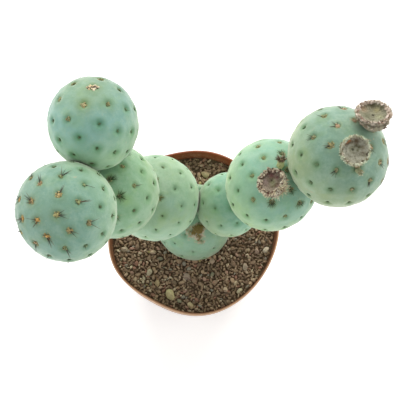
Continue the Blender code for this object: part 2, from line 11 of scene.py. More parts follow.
import bpy
import numpy as np
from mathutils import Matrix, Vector


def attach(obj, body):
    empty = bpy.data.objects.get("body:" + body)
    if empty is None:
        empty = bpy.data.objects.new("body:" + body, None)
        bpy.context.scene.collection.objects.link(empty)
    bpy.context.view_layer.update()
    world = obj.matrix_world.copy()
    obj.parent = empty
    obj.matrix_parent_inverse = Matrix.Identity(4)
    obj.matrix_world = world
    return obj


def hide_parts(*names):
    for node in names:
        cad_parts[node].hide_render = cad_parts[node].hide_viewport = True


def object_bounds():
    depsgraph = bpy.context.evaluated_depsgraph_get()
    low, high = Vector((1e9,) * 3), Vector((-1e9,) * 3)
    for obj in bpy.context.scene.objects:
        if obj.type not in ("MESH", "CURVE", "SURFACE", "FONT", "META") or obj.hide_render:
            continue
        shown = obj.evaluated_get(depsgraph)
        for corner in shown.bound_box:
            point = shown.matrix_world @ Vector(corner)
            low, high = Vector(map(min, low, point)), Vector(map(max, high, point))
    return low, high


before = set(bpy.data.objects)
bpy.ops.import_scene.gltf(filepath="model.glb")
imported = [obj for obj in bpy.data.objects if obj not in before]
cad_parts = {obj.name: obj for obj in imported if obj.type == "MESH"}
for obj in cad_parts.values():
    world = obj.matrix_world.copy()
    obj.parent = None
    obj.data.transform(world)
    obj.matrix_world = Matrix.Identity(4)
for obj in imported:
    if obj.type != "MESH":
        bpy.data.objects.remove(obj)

MODEL_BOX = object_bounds()
GAP = 0.0003
FULL_TURN = 2 * math.pi
ROLL = (0, 6.28)
GOLDEN_ANGLE = math.pi * (3 - math.sqrt(5))

# Camera: nearly overhead, at the photo's angle
CAMERA_PLACE = (0.00444, -0.16164, 0.71185)
CAMERA_TILT = math.radians(16)
CAMERA_LENS = 94.98
SENSOR = 36.0

# Lamps: name, place, size, power and colour. All face one height on the Z axis
LAMP_AIM = 0.12
SOFTBOXES = (
    ("back_softbox", (0.2, 1.5, 1.3), (1.8, 1.2), 32.5, (1.0, 0.955, 0.885)),
    ("left_softbox", (-1.6, 0.1, 0.8), (1.2, 1.2), 7.0, (1.0, 1.0, 1.0)),
    ("right_softbox", (1.6, 0.1, 0.8), (1.2, 1.2), 5.8, (1.0, 0.96, 0.84)),
)

# Pot
POT_SIDES = 192
POT_INSET = 0.9979
POT_HEIGHT = 0.0820
RIM_RADIUS = 0.0525
RIM_LIP = 0.0013
RIM_EDGE = 0.0005
BAND_DEPTH = 0.0110
BAND_TAPER = 0.0009
BAND_STEP = 0.0024
STEP_RISE = 0.0014
BASE_RADIUS = 0.0370
FLOOR_LEVEL = 0.0029
FLOOR_RADIUS = 0.0352
FOOT_RING_INNER = 0.0315
FOOT_DISC_RADIUS = 0.0125
FOOT_SLOPE = 0.0015
DRAIN_RISE = 0.0016
DRAIN_HOLES = 6
DRAIN_RADIUS = 0.0032
DRAIN_CIRCLE = 0.0220
POT_BEVEL = 0.00022
BAND_MARGIN = 0.0008
BAND_BLUR = 0.0004
RIM_WAVES = (
    (2, 0.0005, math.radians(-8)),
    (3, 0.0005, math.radians(30)),
    (4, 0.0005, math.radians(22)),
    (5, 0.0007, math.radians(-4)),
    (6, 0.0004, math.radians(23)),
)

# Grit
SOIL_LEVEL = POT_HEIGHT - 0.0098
SOIL_SWELL = 0.0006
BANK_RISE = 0.0015
BANK_START = 0.0380
BANK_WIDTH = 0.0120
BED_DROP = 0.0008
BED_SIDES = 128
BED_RINGS = 18
BED_LUMP_RISE = 0.0005
BED_LUMP_SIZE = 0.0045
STONE_COUNT = 10
CHIP_COUNT = 14
STONE_SIZES = ((0.0021, 50), (0.0018, 150), (0.0014, 560))
CHIP_SIZES = ((0.0012, 2400), (0.00095, 5000), (0.00072, 9000))
STONE_FACES = 0.55
GRIT_PACKING = 0.68
TOP_CHIPS = 700
TOP_CHIP_LIFT = 0.0005
GRIT_LIGHTNESS = 1.17
# Painted shadow on the grit under the right-hand balls: its middle, its radius and how much it darkens
GRIT_SHADOW_PLACE = (0.036, -0.009)
GRIT_SHADOW_RADIUS = 0.013
GRIT_SHADOW_DARKNESS = 0.40
TWIGS = 34
TWIG_REACH = 0.047
TWIG_LENGTH = (0.0025, 0.0065)
TWIG_WIDTH = (0.00012, 0.00028)
TWIG_LIFT = 0.0008
TWIG_CLEAR = 0.001
GRIT_SEED = 23
HOLE_CLEARANCE = 0.00045
BALL_BANK = 0.0011
BALL_BANK_WIDTH = 0.0030

# Areoles and spines
PAD_SIDES = 5
PAD_RADIUS = 0.00095
PAD_SINK = 0.00085
PAD_RISE = 0.00060
AREOLE_MARGIN = 0.0044
SPINE_SPREAD = (0.75, 1.15)
SPINE_FADE = 0.35
SPINE_LEAN = (0.20, 0.85)
SPINE_SWAY = 0.8
SPINE_CLEAR = 0.0012
SPINE_WIDTH = 0.00012
SPINE_WIDENING = 0.010
SECOND_SPINE = 0.22
TIP_ZONE = 0.55
EDGE_AREOLE_ROOM = 0.0009
FRESH_STEEPNESS = 2.6
FRESH_SPREAD = 0.16
TUFT_ROOM = 0.0062
TUFT_SPINES = 16
FAN_WIDTH = 0.00016
TUFT_WIDTH = 0.00015
GLOCHID_WIDTH = 0.00005
GLOCHID_LENGTH = (0.0006, 0.0011)
BRISTLE_WIDTH = 0.00011
BRISTLE_LENGTH = 0.0013
WOOL_REACH = 0.0012
BOX_MARGIN = 0.0003
WOOL_WIDTH = 0.00120
WOOL_HEIGHT = 0.00060
WOOL_FACES = 0.5
CROWN_TUFTS = 24
CROWN_REACH = (0.0008, 0.0025)
CORE_SHARE = 0.66
CORE_LIMIT = 0.84
LONG_TUFT = 0.003
LOW_FOOT = (0.0001, 0.0006)
NEEDLE_SINK = 0.0006
NEEDLE_EXTRA = 0.0005

# Girth and flats of the balls
GIRTH_OVAL = 0.008
GIRTH_LOBES = 0.005
SEAT_MARGIN = 0.0003
SEAT_BARE = 0.0022
BASE_FLAT_DEPTH = 0.0170
SOIL_CLEAR = 0.0042
GRAIN_RISE = 0.0013
NECK_ROUNDING = 0.0022
PRESSED_ROUNDING = 0.0005
# Painted shade on the balls: the depth into a flat over which it grows full, and how far it spreads past
# the edge of a pressed flat
FLAT_SHADE_DEPTH = 0.0008
CREVICE_WIDTH = 0.0009

# Relief of the skin: slow lumps, a pit at each areole and a low cushion round it
NEAR_AREOLE = (0.0026, 0.0013)
NEAR_EDGE = 0.0011
LUMP_RISE = 0.00014
LUMP_SIZE = 0.017
CALM_WIDTH = 0.004
PIT_DEPTH = 0.8 * PAD_SINK
PIT_WIDTH = 0.00175
CUSHION_RISE = 0.00026
CUSHION_PLACE = 0.0030
CUSHION_WIDTH = 0.0020

# Marks on the skin
HALO_WIDTH = 0.0023
HALO_GROWTH = 0.0005
WIDE_HALO = 0.0040
RAG_SIZE = 0.0042
WELL_WIDTH = 0.0009
JOINT_WIDTH = 0.0024
AGE_SIZE = 0.021
# Painted light and shade: how much paler each ball is on its lit side, and darker on the other side
LIT_SIDE_GAIN = 1.6

# Dry fruits and buds: share of the length and share of the radius
FRUIT_SECTION = (
    (0.00, 0.48), (0.10, 0.58), (0.34, 0.82), (0.62, 0.97), (0.84, 1.00), (1.00, 0.94),
    (0.95, 0.80), (0.83, 0.64), (0.79, 0.44), (0.74, 0.24),
)
PIT_SECTION = ((0.725, 0.16), (0.715, 0.09), (0.66, 0.05))
FRUIT_SIDES = 120
FRUIT_STEPS = 6
FRUIT_LOBES = 13
FRUIT_CREST = 5
CRUST_WAVE = 0.0028
FOLD_SIZE = 0.0055
BRISTLE_JITTER = 0.00035
CREST_RINGS = 5.0
BUD_SECTION = ((0.00, 0.80), (0.25, 1.00), (0.60, 0.86), (0.88, 0.92), (1.00, 0.55))
BUD_MOUTH = (0.93, 0.25)
BUD_SIDES = 32
BUD_TUFTS = 12

# Relief of a fruit, as shares of its radius: how far its lobes and crust stand out and up at the rim,
# less the amount named after it, then the waves of its flank and the rings, creases and waves of its dish
LOBE_OUT = 0.20
LESS_OUT = 0.140
LOBE_UP = 0.17
LESS_UP = 0.11
CRUST_ROUGHNESS = 0.050
FLANK_WAVE = 0.035
FLANK_ROUGHNESS = 0.012
RING_DEPTH = 0.013
CREASE_DEPTH = 0.018
DISH_WAVE = 0.030


@dataclass
class Flat:
    """A plane that cuts a ball: its outward direction and its distance from the centre.

    Seat is a small one under a fruit or bud, bears one that a ball or fruit grows on, and pressed one
    that a neighbour presses on.
    """
    normal: Vector
    distance: float
    seat: bool = False
    bears: bool = False
    pressed: bool = False


@dataclass
class Ball:
    """One ball of the stem.

    Wool, fan and tuft are the sizes of what its areoles carry, mark is how dark they are, halo is how wide
    the dark round them is, and lit_side is the way that its side of painted light faces, with painted
    shade on the far side. Tufted and plain are areoles that carry a tuft, or none, in any case.
    """
    centre: Vector
    radius: float
    axis: Vector
    areoles: int
    phase: float
    hand: int
    spine: float
    stretch: float = 1.0
    taper: float = 0.0
    wool: float = 0.6
    fresh: float = 1.5
    fan: int = 0
    tuft: float = 0.0
    tuft_zone: float = 2.0
    mark: float = 1.0
    halo: float = 1.0
    lit_side: tuple = (0.0, 0.0, 0.0)
    tufted: tuple = ()
    plain: tuple = ()
    flats: list = field(default_factory=list)


@dataclass
class Growth:
    """A dry fruit or bud: its ball, the ways its foot and its mouth face, and its sizes.

    Dish is how far its dish is off centre, and squash how wide and tall its mouth is, as shares.
    """
    ball: str
    foot: Vector
    mouth: Vector
    radius: float
    length: float
    dish: tuple = (0.0, 0.0)
    squash: tuple = (1.0, 1.0)
    point: Vector = None


@dataclass
class Areole:
    """One wool pad: its direction from the ball's centre, its spines, how fresh it is and its size.

    Tuft tells whether it carries a tuft of spines, and crown whether it is the ball's growing point.
    """
    way: Vector
    spines: list
    bright: float
    size: float
    tuft: bool
    crown: bool


# Centre, radius across the axis, axis, areoles, angle of the first, hand of the spiral, spine.
# Wool is fresh above the height named fresh, from -1 at the foot to 1 at the tip.
BALLS = {
    "base_segment": Ball(
        Vector((0.0004, 0.0048, 0.0820)), 0.0233, Vector((-0.145, 0.026, 0.989)), 59, 27, -1,
        0.0014, wool=0.50, mark=0.35, lit_side=(-0.15, 0.05, 0.0)),
    "left_segment_1": Ball(
        Vector((-0.0211, 0.0085, 0.1227)), 0.0250, Vector((-0.285, 0.074, 0.956)), 64, 307, -1,
        0.0018, wool=0.70, fresh=0.72, tuft=0.0028, tuft_zone=0.84, mark=0.50),
    "left_segment_2": Ball(
        Vector((-0.0431, 0.0003, 0.1647)), 0.0254, Vector((-0.453, -0.125, 0.883)), 72, 185, 1,
        0.0028, wool=1.05, fresh=0.36, fan=1, tuft=0.0038, tuft_zone=0.60, mark=1.0,
        plain=(12,)),
    "left_segment_3": Ball(
        Vector((-0.0623, -0.0217, 0.2034)), 0.0253, Vector((-0.350, -0.312, 0.883)), 70, 199, 1,
        0.0046, stretch=0.97, wool=1.50, fresh=0.48, fan=5, halo=1.12,
        lit_side=(0.03, -0.03, 0.0)),
    "left_segment_4": Ball(
        Vector((-0.0499, 0.0239, 0.2044)), 0.0232, Vector((-0.130, 0.453, 0.882)), 58, 95, 1,
        0.0022, stretch=1.05, taper=0.03, wool=1.20, fresh=0.66, mark=1.15, halo=1.3,
        lit_side=(-0.07, -0.12, 0.06)),
    "right_segment_1": Ball(
        Vector((0.0214, 0.0063, 0.1164)), 0.0189, Vector((0.574, 0.184, 0.798)), 44, 296, -1,
        0.0014, stretch=1.02, wool=0.62, mark=0.60, lit_side=(0.12, 0.04, 0.0)),
    "right_segment_2": Ball(
        Vector((0.0440, 0.0075, 0.1522)), 0.0255, Vector((0.439, 0.024, 0.898)), 65, 149, -1,
        0.0022, wool=1.05, fresh=0.30, tuft=0.0034, tuft_zone=0.94, lit_side=(-0.10, 0.0, 0.04),
        tufted=(3, 7)),
    "right_segment_3": Ball(
        Vector((0.0761, 0.0115, 0.1897)), 0.0263, Vector((0.525, 0.207, 0.826)), 70, 8, -1,
        0.0030, stretch=0.98, wool=1.40, fresh=0.30, fan=4, tuft=0.0018, lit_side=(0.03, 0.05, 0.0)),
}

# Skin of each ball at its crown, round its middle and at its foot: the older balls are paler
SKIN_TONES = {
    "base_segment": ((145, 181, 152), (145, 181, 154), (160, 192, 153)),
    "left_segment_1": ((145, 170, 139), (146, 176, 144), (174, 206, 172)),
    "left_segment_2": ((134, 173, 138), (134, 174, 138), (150, 182, 142)),
    "left_segment_3": ((122, 158, 140), (117, 156, 140), (145, 174, 142)),
    "left_segment_4": ((128, 160, 137), (122, 163, 154), (148, 180, 147)),
    "right_segment_1": ((142, 172, 145), (126, 173, 149), (171, 199, 158)),
    "right_segment_2": ((133, 174, 151), (133, 176, 154), (168, 199, 152)),
    "right_segment_3": ((120, 150, 132), (117, 151, 134), (158, 177, 137)),
}

# Painted shade on the top of the base ball, in the notch behind its two neighbours
BASE_SHADE_WAY = (0.06, 0.60, 0.80)
BASE_SHADE_SPREAD = 0.42

# Blotches of the skin: ball, way, spread and what they multiply its colour by
BLOTCHES = (
    ("left_segment_1", (0.2, -0.64, 0.74), 0.11, (1.0, 0.98, 0.74)),
    ("left_segment_1", (0.35, -0.37, 0.86), 0.16, (0.96, 1.01, 1.14)),
    ("right_segment_1", (-0.43, 0.21, 0.88), 0.2, (1.08, 1.0, 0.84)),
    ("right_segment_1", (-0.71, -0.64, 0.29), 0.15, (1.08, 1.03, 1.14)),
    ("left_segment_2", (0.36, -0.45, 0.81), 0.12, (1.04, 1.02, 0.8)),
    ("left_segment_4", (0.23, -0.2, 0.95), 0.22, (1.0, 1.01, 1.08)),
)

# Corky patch near the top of the base ball: its core, its left part and a drip
CORK_SPOTS = (
    ((0.17, -0.41, 0.89), 0.20, 0.92),
    ((-0.08, -0.54, 0.83), 0.24, 0.56),
    ((0.20, -0.68, 0.70), 0.15, 0.54),
)

# Balls that grow on one another, and neighbours that press on one another
NECKS = (
    ("base_segment", "left_segment_1"),
    ("left_segment_1", "left_segment_2"),
    ("left_segment_2", "left_segment_3"),
    ("left_segment_2", "left_segment_4"),
    ("base_segment", "right_segment_1"),
    ("right_segment_1", "right_segment_2"),
    ("right_segment_2", "right_segment_3"),
)
PRESSED = (
    ("left_segment_1", "right_segment_1"),
    ("left_segment_3", "left_segment_4"),
)

FRUITS = {
    "dried_fruit_1": Growth(
        "right_segment_3", Vector((0.498, 0.395, 0.760)), Vector((-0.05, 0.450, 0.890)),
        0.0086, 0.0095, (0.02, 0.06)),
    "dried_fruit_2": Growth(
        "right_segment_3", Vector((0.125, -0.215, 0.969)), Vector((0.18, -0.330, 0.927)),
        0.0076, 0.0085, (-0.12, 0.08), (0.98, 0.95)),
    "dried_fruit_3": Growth(
        "right_segment_2", Vector((-0.020, -0.290, 0.957)), Vector((-0.38, 0.180, 0.905)),
        0.0076, 0.0090, (-0.08, 0.18)),
}
BUDS = {
    "dried_bud_1": Growth(
        "right_segment_2", Vector((0.115, 0.110, 0.987)), Vector((0.00, 0.600, 0.800)),
        0.0020, 0.0060),
    "dried_bud_2": Growth(
        "right_segment_3", Vector((0.250, -0.530, 0.810)), Vector((0.30, -0.680, 0.670)),
        0.0014, 0.0045),
}


def shade(red, green, blue):
    """A tone as a colour for a shader."""
    parts = []
    for value in (red, green, blue):
        share = value / 255
        parts.append(share / 12.92 if share <= 0.04045 else ((share + 0.055) / 1.055) ** 2.4)
    return (*parts, 1.0)


def light_of(tone):
    """A tone as three amounts of light."""
    return np.array(shade(*tone)[:3])


def bell(distance, width):
    """A share that is 1 at no distance and dies away over a width."""
    return np.exp(-(distance / width) ** 2)


def climb(value, start, width):
    """A share that climbs from 0 at a start to 1 past a width."""
    return np.clip((value - start) / width, 0, 1)


def draws(rng, count, low, high):
    """Numbers drawn at random between two limits."""
    return np.array([rng.uniform(low, high) for _ in range(count)])


def any_way(rng, size=1):
    """Three numbers drawn at random about zero."""
    return np.array([rng.gauss(0, size) for _ in range(3)])


def any_turn(rng):
    """A turn drawn at random."""
    return rng.uniform(0, FULL_TURN)


def reach_of(points):
    """Distance of each point from the Z axis."""
    return np.hypot(points[:, 0], points[:, 1])


def turn_of(points):
    """Turn of each point round the Z axis."""
    return np.arctan2(points[:, 1], points[:, 0])


class Value:
    """A socket of a shader. Arithmetic on it adds Math nodes."""

    def __init__(self, nodes, socket):
        self.nodes = nodes
        self.socket = socket

    def __add__(self, other):
        return self.nodes.maths("ADD", self, other)

    def __radd__(self, other):
        return self.nodes.maths("ADD", other, self)

    def __sub__(self, other):
        return self.nodes.maths("SUBTRACT", self, other)

    def __rsub__(self, other):
        return self.nodes.maths("SUBTRACT", other, self)

    def __mul__(self, other):
        return self.nodes.maths("MULTIPLY", self, other)

    def __rmul__(self, other):
        return self.nodes.maths("MULTIPLY", other, self)


class Nodes:
    """The nodes of a material or of the surroundings."""

    def __init__(self, tree):
        self.tree = tree

    def node(self, kind, settings=None, inputs=None, output=0):
        """Add a node: its settings first, then the values or links of its sockets."""
        made = self.tree.nodes.new("ShaderNode" + kind)
        for name, value in (settings or {}).items():
            setattr(made, name, value)
        for name, value in (inputs or {}).items():
            self.feed(made.inputs[name], value)
        return Value(self, made.outputs[output])

    def feed(self, socket, value):
        """Link a value to a socket, or set the socket to a constant."""
        if isinstance(value, Value):
            self.tree.links.new(value.socket, socket)
        else:
            socket.default_value = value

    def maths(self, operation, first, second):
        """One Math node."""
        return self.node("Math", {"operation": operation}, {0: first, 1: second})

    def mix(self, share, first, second, blend_type="MIX"):
        """A colour between two colours, or the first multiplied by a share of the second."""
        settings = {"data_type": "RGBA", "blend_type": blend_type}
        return self.node("Mix", settings, {0: share, 6: first, 7: second}, 2)

    def ease(self, value, low, high, to_low=0.0, to_high=1.0):
        """A value carried smoothly from one range to another."""
        settings = {"interpolation_type": "SMOOTHSTEP"}
        inputs = {"Value": value, "From Min": low, "From Max": high, "To Min": to_low, "To Max": to_high}
        return self.node("MapRange", settings, inputs)


class Finish(Nodes):
    """A material: the place on the piece that its patterns are laid out on, and its colour so far.

    Tone names the colour that the mesh carries, which the material starts from.
    """

    def __init__(self, name, tone=None, **constants):
        self.material = bpy.data.materials.new(name)
        self.material.use_nodes = True
        super().__init__(self.material.node_tree)
        self.shader = self.tree.nodes["Principled BSDF"]
        for socket, value in constants.items():
            self.shader.inputs[socket.replace("_", " ")].default_value = value
        self.place = self.node("TexCoord", output="Object")
        self.base = self.attribute(tone, "Color") if tone else None

    def attribute(self, name, output="Fac"):
        """A number or colour that the mesh carries."""
        return self.node("Attribute", {"attribute_name": name}, output=output)

    def stretched(self, scale):
        """The place on the piece, stretched along its axes."""
        return self.node("Mapping", inputs={"Vector": self.place, "Scale": scale})

    def axis(self, letter):
        """The place on the piece along one axis."""
        return self.node("SeparateXYZ", inputs={0: self.place}, output=letter)

    def noise(self, size, detail=3.0, rough=0.55, place=None, warp=0.0):
        """Cloudy noise with lumps of a size in metres."""
        inputs = {"Vector": place or self.place, "Scale": 1 / size, "Detail": detail,
                  "Roughness": rough, "Distortion": warp}
        return self.node("TexNoise", inputs=inputs)

    def cells(self, size):
        """Distance to the middle of the nearest cell, for cells of a size in metres."""
        return self.node("TexVoronoi", inputs={"Vector": self.place, "Scale": 1 / size}, output="Distance")

    def between(self, share, low, high):
        """A colour between two tones."""
        return self.mix(share, shade(*low), shade(*high))

    def coat(self, share, colour):
        """Cover the colour so far with a tone or another colour, by a share."""
        self.base = self.mix(share, self.base, colour if isinstance(colour, Value) else shade(*colour))

    def tint(self, share, colour):
        """Multiply the colour so far by shares of light or by another colour, by a share."""
        colour = colour if isinstance(colour, Value) else (*colour, 1.0)
        self.base = self.mix(share, self.base, colour, "MULTIPLY")

    def complete(self, roughness=None, height=None, depth=0.0):
        """Set the colour and, where they vary, the roughness and a relief of a depth in metres."""
        self.feed(self.shader.inputs["Base Color"], self.base)
        if roughness:
            self.feed(self.shader.inputs["Roughness"], roughness)
        if height:
            normal = self.node("Bump", inputs={"Strength": 1.0, "Distance": depth, "Height": height})
            self.feed(self.shader.inputs["Normal"], normal)


def start_clean():
    """Deselect everything in object mode."""
    if bpy.context.object and bpy.context.object.mode != "OBJECT":
        bpy.ops.object.mode_set(mode="OBJECT")
    bpy.ops.object.select_all(action="DESELECT")


def choose(piece):
    """Select one piece alone."""
    start_clean()
    piece.select_set(True)
    bpy.context.view_layer.objects.active = piece


def settle(piece, name):
    """Apply a piece's place, and name it and its mesh."""
    choose(piece)
    bpy.ops.object.transform_apply(location=True, rotation=True, scale=True)
    piece.name = name
    piece.data.name = name
    return piece


def apply_modifier(piece, kind, **settings):
    """Give a piece a modifier and apply it."""
    choose(piece)
    modifier = piece.modifiers.new(kind.lower(), kind)
    for name, value in settings.items():
        setattr(modifier, name, value)
    bpy.ops.object.modifier_apply(modifier=modifier.name)


def points_of(piece):
    """The places of a piece's vertices."""
    points = np.empty(len(piece.data.vertices) * 3)
    piece.data.vertices.foreach_get("co", points)
    return points.reshape(-1, 3)


def move_points(piece, points):
    """Put a piece's vertices in new places."""
    piece.data.vertices.foreach_set("co", np.ascontiguousarray(points, dtype=np.float32).ravel())
    piece.data.update()


def carry(piece, name, values):
    """Store a number or a colour at every vertex of a piece."""
    values = np.asarray(values, dtype=np.float32)
    if values.ndim == 1:
        piece.data.attributes.new(name, "FLOAT", "POINT").data.foreach_set("value", values)
    else:
        colours = np.ones((len(values), 4), dtype=np.float32)
        colours[:, :3] = values[:, :3]
        piece.data.attributes.new(name, "FLOAT_COLOR", "POINT").data.foreach_set("color", colours.ravel())


def add_ico_sphere(subdivisions, radius):
    """A ball of triangles round the origin."""
    start_clean()
    bpy.ops.mesh.primitive_ico_sphere_add(subdivisions=subdivisions, radius=radius)
    return bpy.context.object


def draw_out(name, sides, rings):
    """A closed piece: a disc drawn out through rings of radius and height, by extrusion."""
    start_clean()
    radius, height = rings[0]
    bpy.ops.mesh.primitive_circle_add(
        vertices=sides, radius=radius, fill_type="NGON", location=(0, 0, height))
    piece = bpy.context.object
    bpy.ops.object.mode_set(mode="EDIT")
    bpy.ops.mesh.select_all(action="SELECT")
    for next_radius, next_height in rings[1:]:
        bpy.ops.mesh.extrude_region_move(
            TRANSFORM_OT_translate={"value": (0, 0, next_height - height)})
        grow = next_radius / radius
        bpy.ops.transform.resize(value=(grow, grow, 1), center_override=(0, 0, next_height))
        radius, height = next_radius, next_height
    bpy.ops.mesh.select_all(action="SELECT")
    bpy.ops.mesh.normals_make_consistent(inside=False)
    bpy.ops.object.mode_set(mode="OBJECT")
    return settle(piece, name)


def finish_piece(piece, finish, replaced=(), crease=50):
    """Shade, paint and place a finished piece."""
    choose(piece)
    bpy.ops.object.shade_smooth_by_angle(angle=math.radians(crease))
    piece.data.materials.clear()
    piece.data.materials.append(finish.material)
    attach(piece, "root")
    if replaced:
        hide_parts(*replaced)


def lay_piece(name, shapes, places, finish, crease):
    """One piece of many copies: each place gives a shape's number, three axes, a point and its light."""
    points = []
    faces = []
    tones = []
    shares = []
    count = 0
    for number, axes, point, light in places:
        shape_points, shape_faces, shape_shares = shapes[number]
        points.append(shape_points @ np.asarray(axes) + np.asarray(point))
        faces.extend([corner + count for corner in face] for face in shape_faces)
        tones.append(np.tile(np.asarray(light[:3]), (len(shape_points), 1)))
        shares.append(shape_shares)
        count += len(shape_points)
    mesh = bpy.data.meshes.new(name)
    mesh.from_pydata(np.concatenate(points).tolist(), [], faces)
    piece = bpy.data.objects.new(name, mesh)
    bpy.context.scene.collection.objects.link(piece)
    carry(piece, "tone", np.concatenate(tones))
    carry(piece, "share", np.concatenate(shares))
    finish_piece(piece, finish, crease=crease)


def take_shape(piece):
    """The points, faces and heights of a modelled shape, which is then removed."""
    points = points_of(piece)
    faces = [list(face.vertices) for face in piece.data.polygons]
    low, high = points[:, 2].min(), points[:, 2].max()
    bpy.data.objects.remove(piece, do_unlink=True)
    return points, faces, (points[:, 2] - low) / (high - low)


def frame_about(axis):
    """Two directions square to an axis."""
    helper = Vector((0, 0, 1)) if abs(axis.z) < 0.95 else Vector((1, 0, 0))
    across = helper.cross(axis).normalized()
    return across, axis.cross(across)


def swing(axis, angle, turn):
    """The direction at an angle from an axis, turned round it."""
    across, up = frame_about(axis)
    side = across * math.cos(turn) + up * math.sin(turn)
    return axis * math.cos(angle) + side * math.sin(angle)


def skin_reach(ball, ways):
    """Distance from a ball's centre to its round skin, for many directions."""
    axis = np.array(ball.axis)
    side, up = (np.array(way) for way in frame_about(ball.axis))
    along = ways @ axis
    across = np.sqrt(np.clip(1 - along * along, 0, 1))
    turn = np.arctan2(ways @ up, ways @ side) - math.radians(ball.phase)
    oval = GIRTH_OVAL * across ** 2 * np.cos(2 * turn)
    lobes = GIRTH_LOBES * across ** 3 * np.cos(3 * turn)
    round_reach = ball.radius / np.hypot(across, along / ball.stretch)
    return round_reach * (1 + oval + lobes) * (1 + ball.taper * along)


def skin(ball, way):
    """Distance from a ball's centre to its round skin in one direction."""
    return float(skin_reach(ball, np.array([way]))[0])


def cut_meeting_flats():
    """Cut balls that meet, each with a flat half a gap from the plane of their common circle."""
    for ball in BALLS.values():
        ball.axis.normalize()
    for first_name, second_name in NECKS + PRESSED:
        bears = (first_name, second_name) in NECKS
        first = BALLS[first_name]
        second = BALLS[second_name]
        line = second.centre - first.centre
        apart = line.length
        line.normalize()
        plane = (apart ** 2 + skin(first, line) ** 2 - skin(second, -line) ** 2) / (2 * apart)
        first.flats.append(Flat(line, plane - GAP / 2, bears=bears, pressed=not bears))
        second.flats.append(Flat(-line, apart - plane - GAP / 2, pressed=not bears))
    BALLS["base_segment"].flats.append(Flat(Vector((0, 0, -1)), BASE_FLAT_DEPTH))


def cut_seats():
    """Cut a small flat seat for each fruit and bud, and note where its foot stands."""
    for growths, section in ((FRUITS, FRUIT_SECTION), (BUDS, BUD_SECTION)):
        for growth in growths.values():
            ball = BALLS[growth.ball]
            way = growth.foot.normalized()
            foot_radius = growth.radius * section[0][1] + SEAT_MARGIN
            distance = math.sqrt(skin(ball, way) ** 2 - foot_radius ** 2)
            ball.flats.append(Flat(way, distance, seat=True, bears=growths is FRUITS))
            growth.point = ball.centre + way * (distance + GAP)


def flat_spread(ball, flat):
    """Angle at the ball's centre from the middle of a flat to its edge."""
    return math.acos(min(1.0, flat.distance / skin(ball, flat.normal)))


def edge_room(ball, way, flat):
    """Distance along the skin from a direction to the edge of a flat."""
    return (way.angle(flat.normal) - flat_spread(ball, flat)) * ball.radius


def past_edge(ball, flat, ways):
    """Angle from the edge of a flat to each direction, less than zero on the flat itself."""
    return np.arccos(np.clip(ways @ np.array(flat.normal), -1, 1)) - flat_spread(ball, flat)


def room_at(ball, way):
    """Room for an areole between a direction and the nearest flat."""
    rooms = []
    for flat in ball.flats:
        bare = SEAT_BARE - AREOLE_MARGIN if flat.seat else 0.0
        rooms.append(edge_room(ball, way, flat) - bare)
    return min(rooms)


def is_beside_growth(ball, way):
    """Whether a direction lies beside a ball or a fruit that grows on this ball."""
    return any(flat.bears and edge_room(ball, way, flat) < TUFT_ROOM for flat in ball.flats)


def is_clear(point, own):
    """Whether a point stays clear of every piece but its own ball."""
    for ball in BALLS.values():
        away = point - ball.centre
        if ball is not own and away.length < skin(ball, away.normalized()) + SPINE_CLEAR:
            return False
    for growth in (FRUITS | BUDS).values():
        middle = growth.point + (growth.foot + growth.mouth).normalized() * growth.length / 2
        if (point - middle).length < max(growth.radius, growth.length / 2) + 2 * SPINE_CLEAR:
            return False
    return point.z > SOIL_LEVEL + SPINE_CLEAR + GRAIN_RISE


def is_inside_box(point):
    """Whether a point lies inside the model's box."""
    low, high = MODEL_BOX
    return all(low[i] + BOX_MARGIN < point[i] < high[i] - BOX_MARGIN for i in range(3))


def spine_lines(ball, way, rng):
    """Foot and tip of each main spine of an areole, drawn at random as the model draws them."""
    reach = skin(ball, way)
    count = 1 + (rng.random() < SECOND_SPINE) + (way.dot(ball.axis) > TIP_ZONE)
    start = rng.randrange(PAD_SIDES)
    lines = []
    for i in range(count):
        side = (start + 2 * i) % PAD_SIDES
        corners = [way * (reach + PAD_RISE - PAD_SINK)]
        for k in (side, side + 1):
            corner = swing(way, PAD_RADIUS / reach, FULL_TURN * k / PAD_SIDES)
            corners.append(corner * (reach - PAD_SINK))
        tangent = ball.axis - way * ball.axis.dot(way)
        sway = Vector(draws(rng, 3, -1, 1))
        lean = (tangent + SPINE_SWAY * sway).normalized() * rng.uniform(*SPINE_LEAN)
        length = ball.spine * rng.uniform(*SPINE_SPREAD) * (1 - SPINE_FADE * (1 - way.dot(ball.axis)))
        foot = sum(corners, Vector()) / 3
        tip = foot + (way + lean).normalized() * length
        if is_clear(ball.centre + tip, ball):
            lines.append((foot, tip))
    return lines


def find_areoles(name):
    """A ball's areoles: one long spiral of golden-angle steps from its tip."""
    ball = BALLS[name]
    rng = random.Random(name)
    other_rng = random.Random(name + "_wool")
    found = []
    for i in range(ball.areoles):
        height = 1 - 2 * (i + 0.5) / ball.areoles
        turn = math.radians(ball.phase) + ball.hand * (i + 0.5) * GOLDEN_ANGLE
        way = swing(ball.axis, math.acos(height), turn)
        low = (ball.centre + way * skin(ball, way)).z
        room = room_at(ball, way)
        if low < SOIL_LEVEL + SOIL_CLEAR * 0.5 or room < EDGE_AREOLE_ROOM:
            continue
        whole = room > AREOLE_MARGIN and low >= SOIL_LEVEL + SOIL_CLEAR
        lines = spine_lines(ball, way, rng if whole else other_rng)
        bright = (height - ball.fresh) * FRESH_STEEPNESS + other_rng.gauss(0.0, FRESH_SPREAD)
        bright = min(1.0, max(0.0, bright))
        size = ball.wool * (0.50 + 0.50 * bright) * other_rng.uniform(0.80, 1.25)
        tuft = height > ball.tuft_zone or (ball.tuft > 0 and is_beside_growth(ball, way))
        tuft = (tuft or i in ball.tufted) and i not in ball.plain
        found.append(Areole(way, lines, bright, size, tuft, i == 0))
    return found


def soft_least(first, second, rounding):
    """The lesser of two distances, with the edge between them rounded off."""
    share = np.clip(0.5 + 0.5 * (second - first) / rounding, 0, 1)
    return second * (1 - share) + first * share - rounding * share * (1 - share)


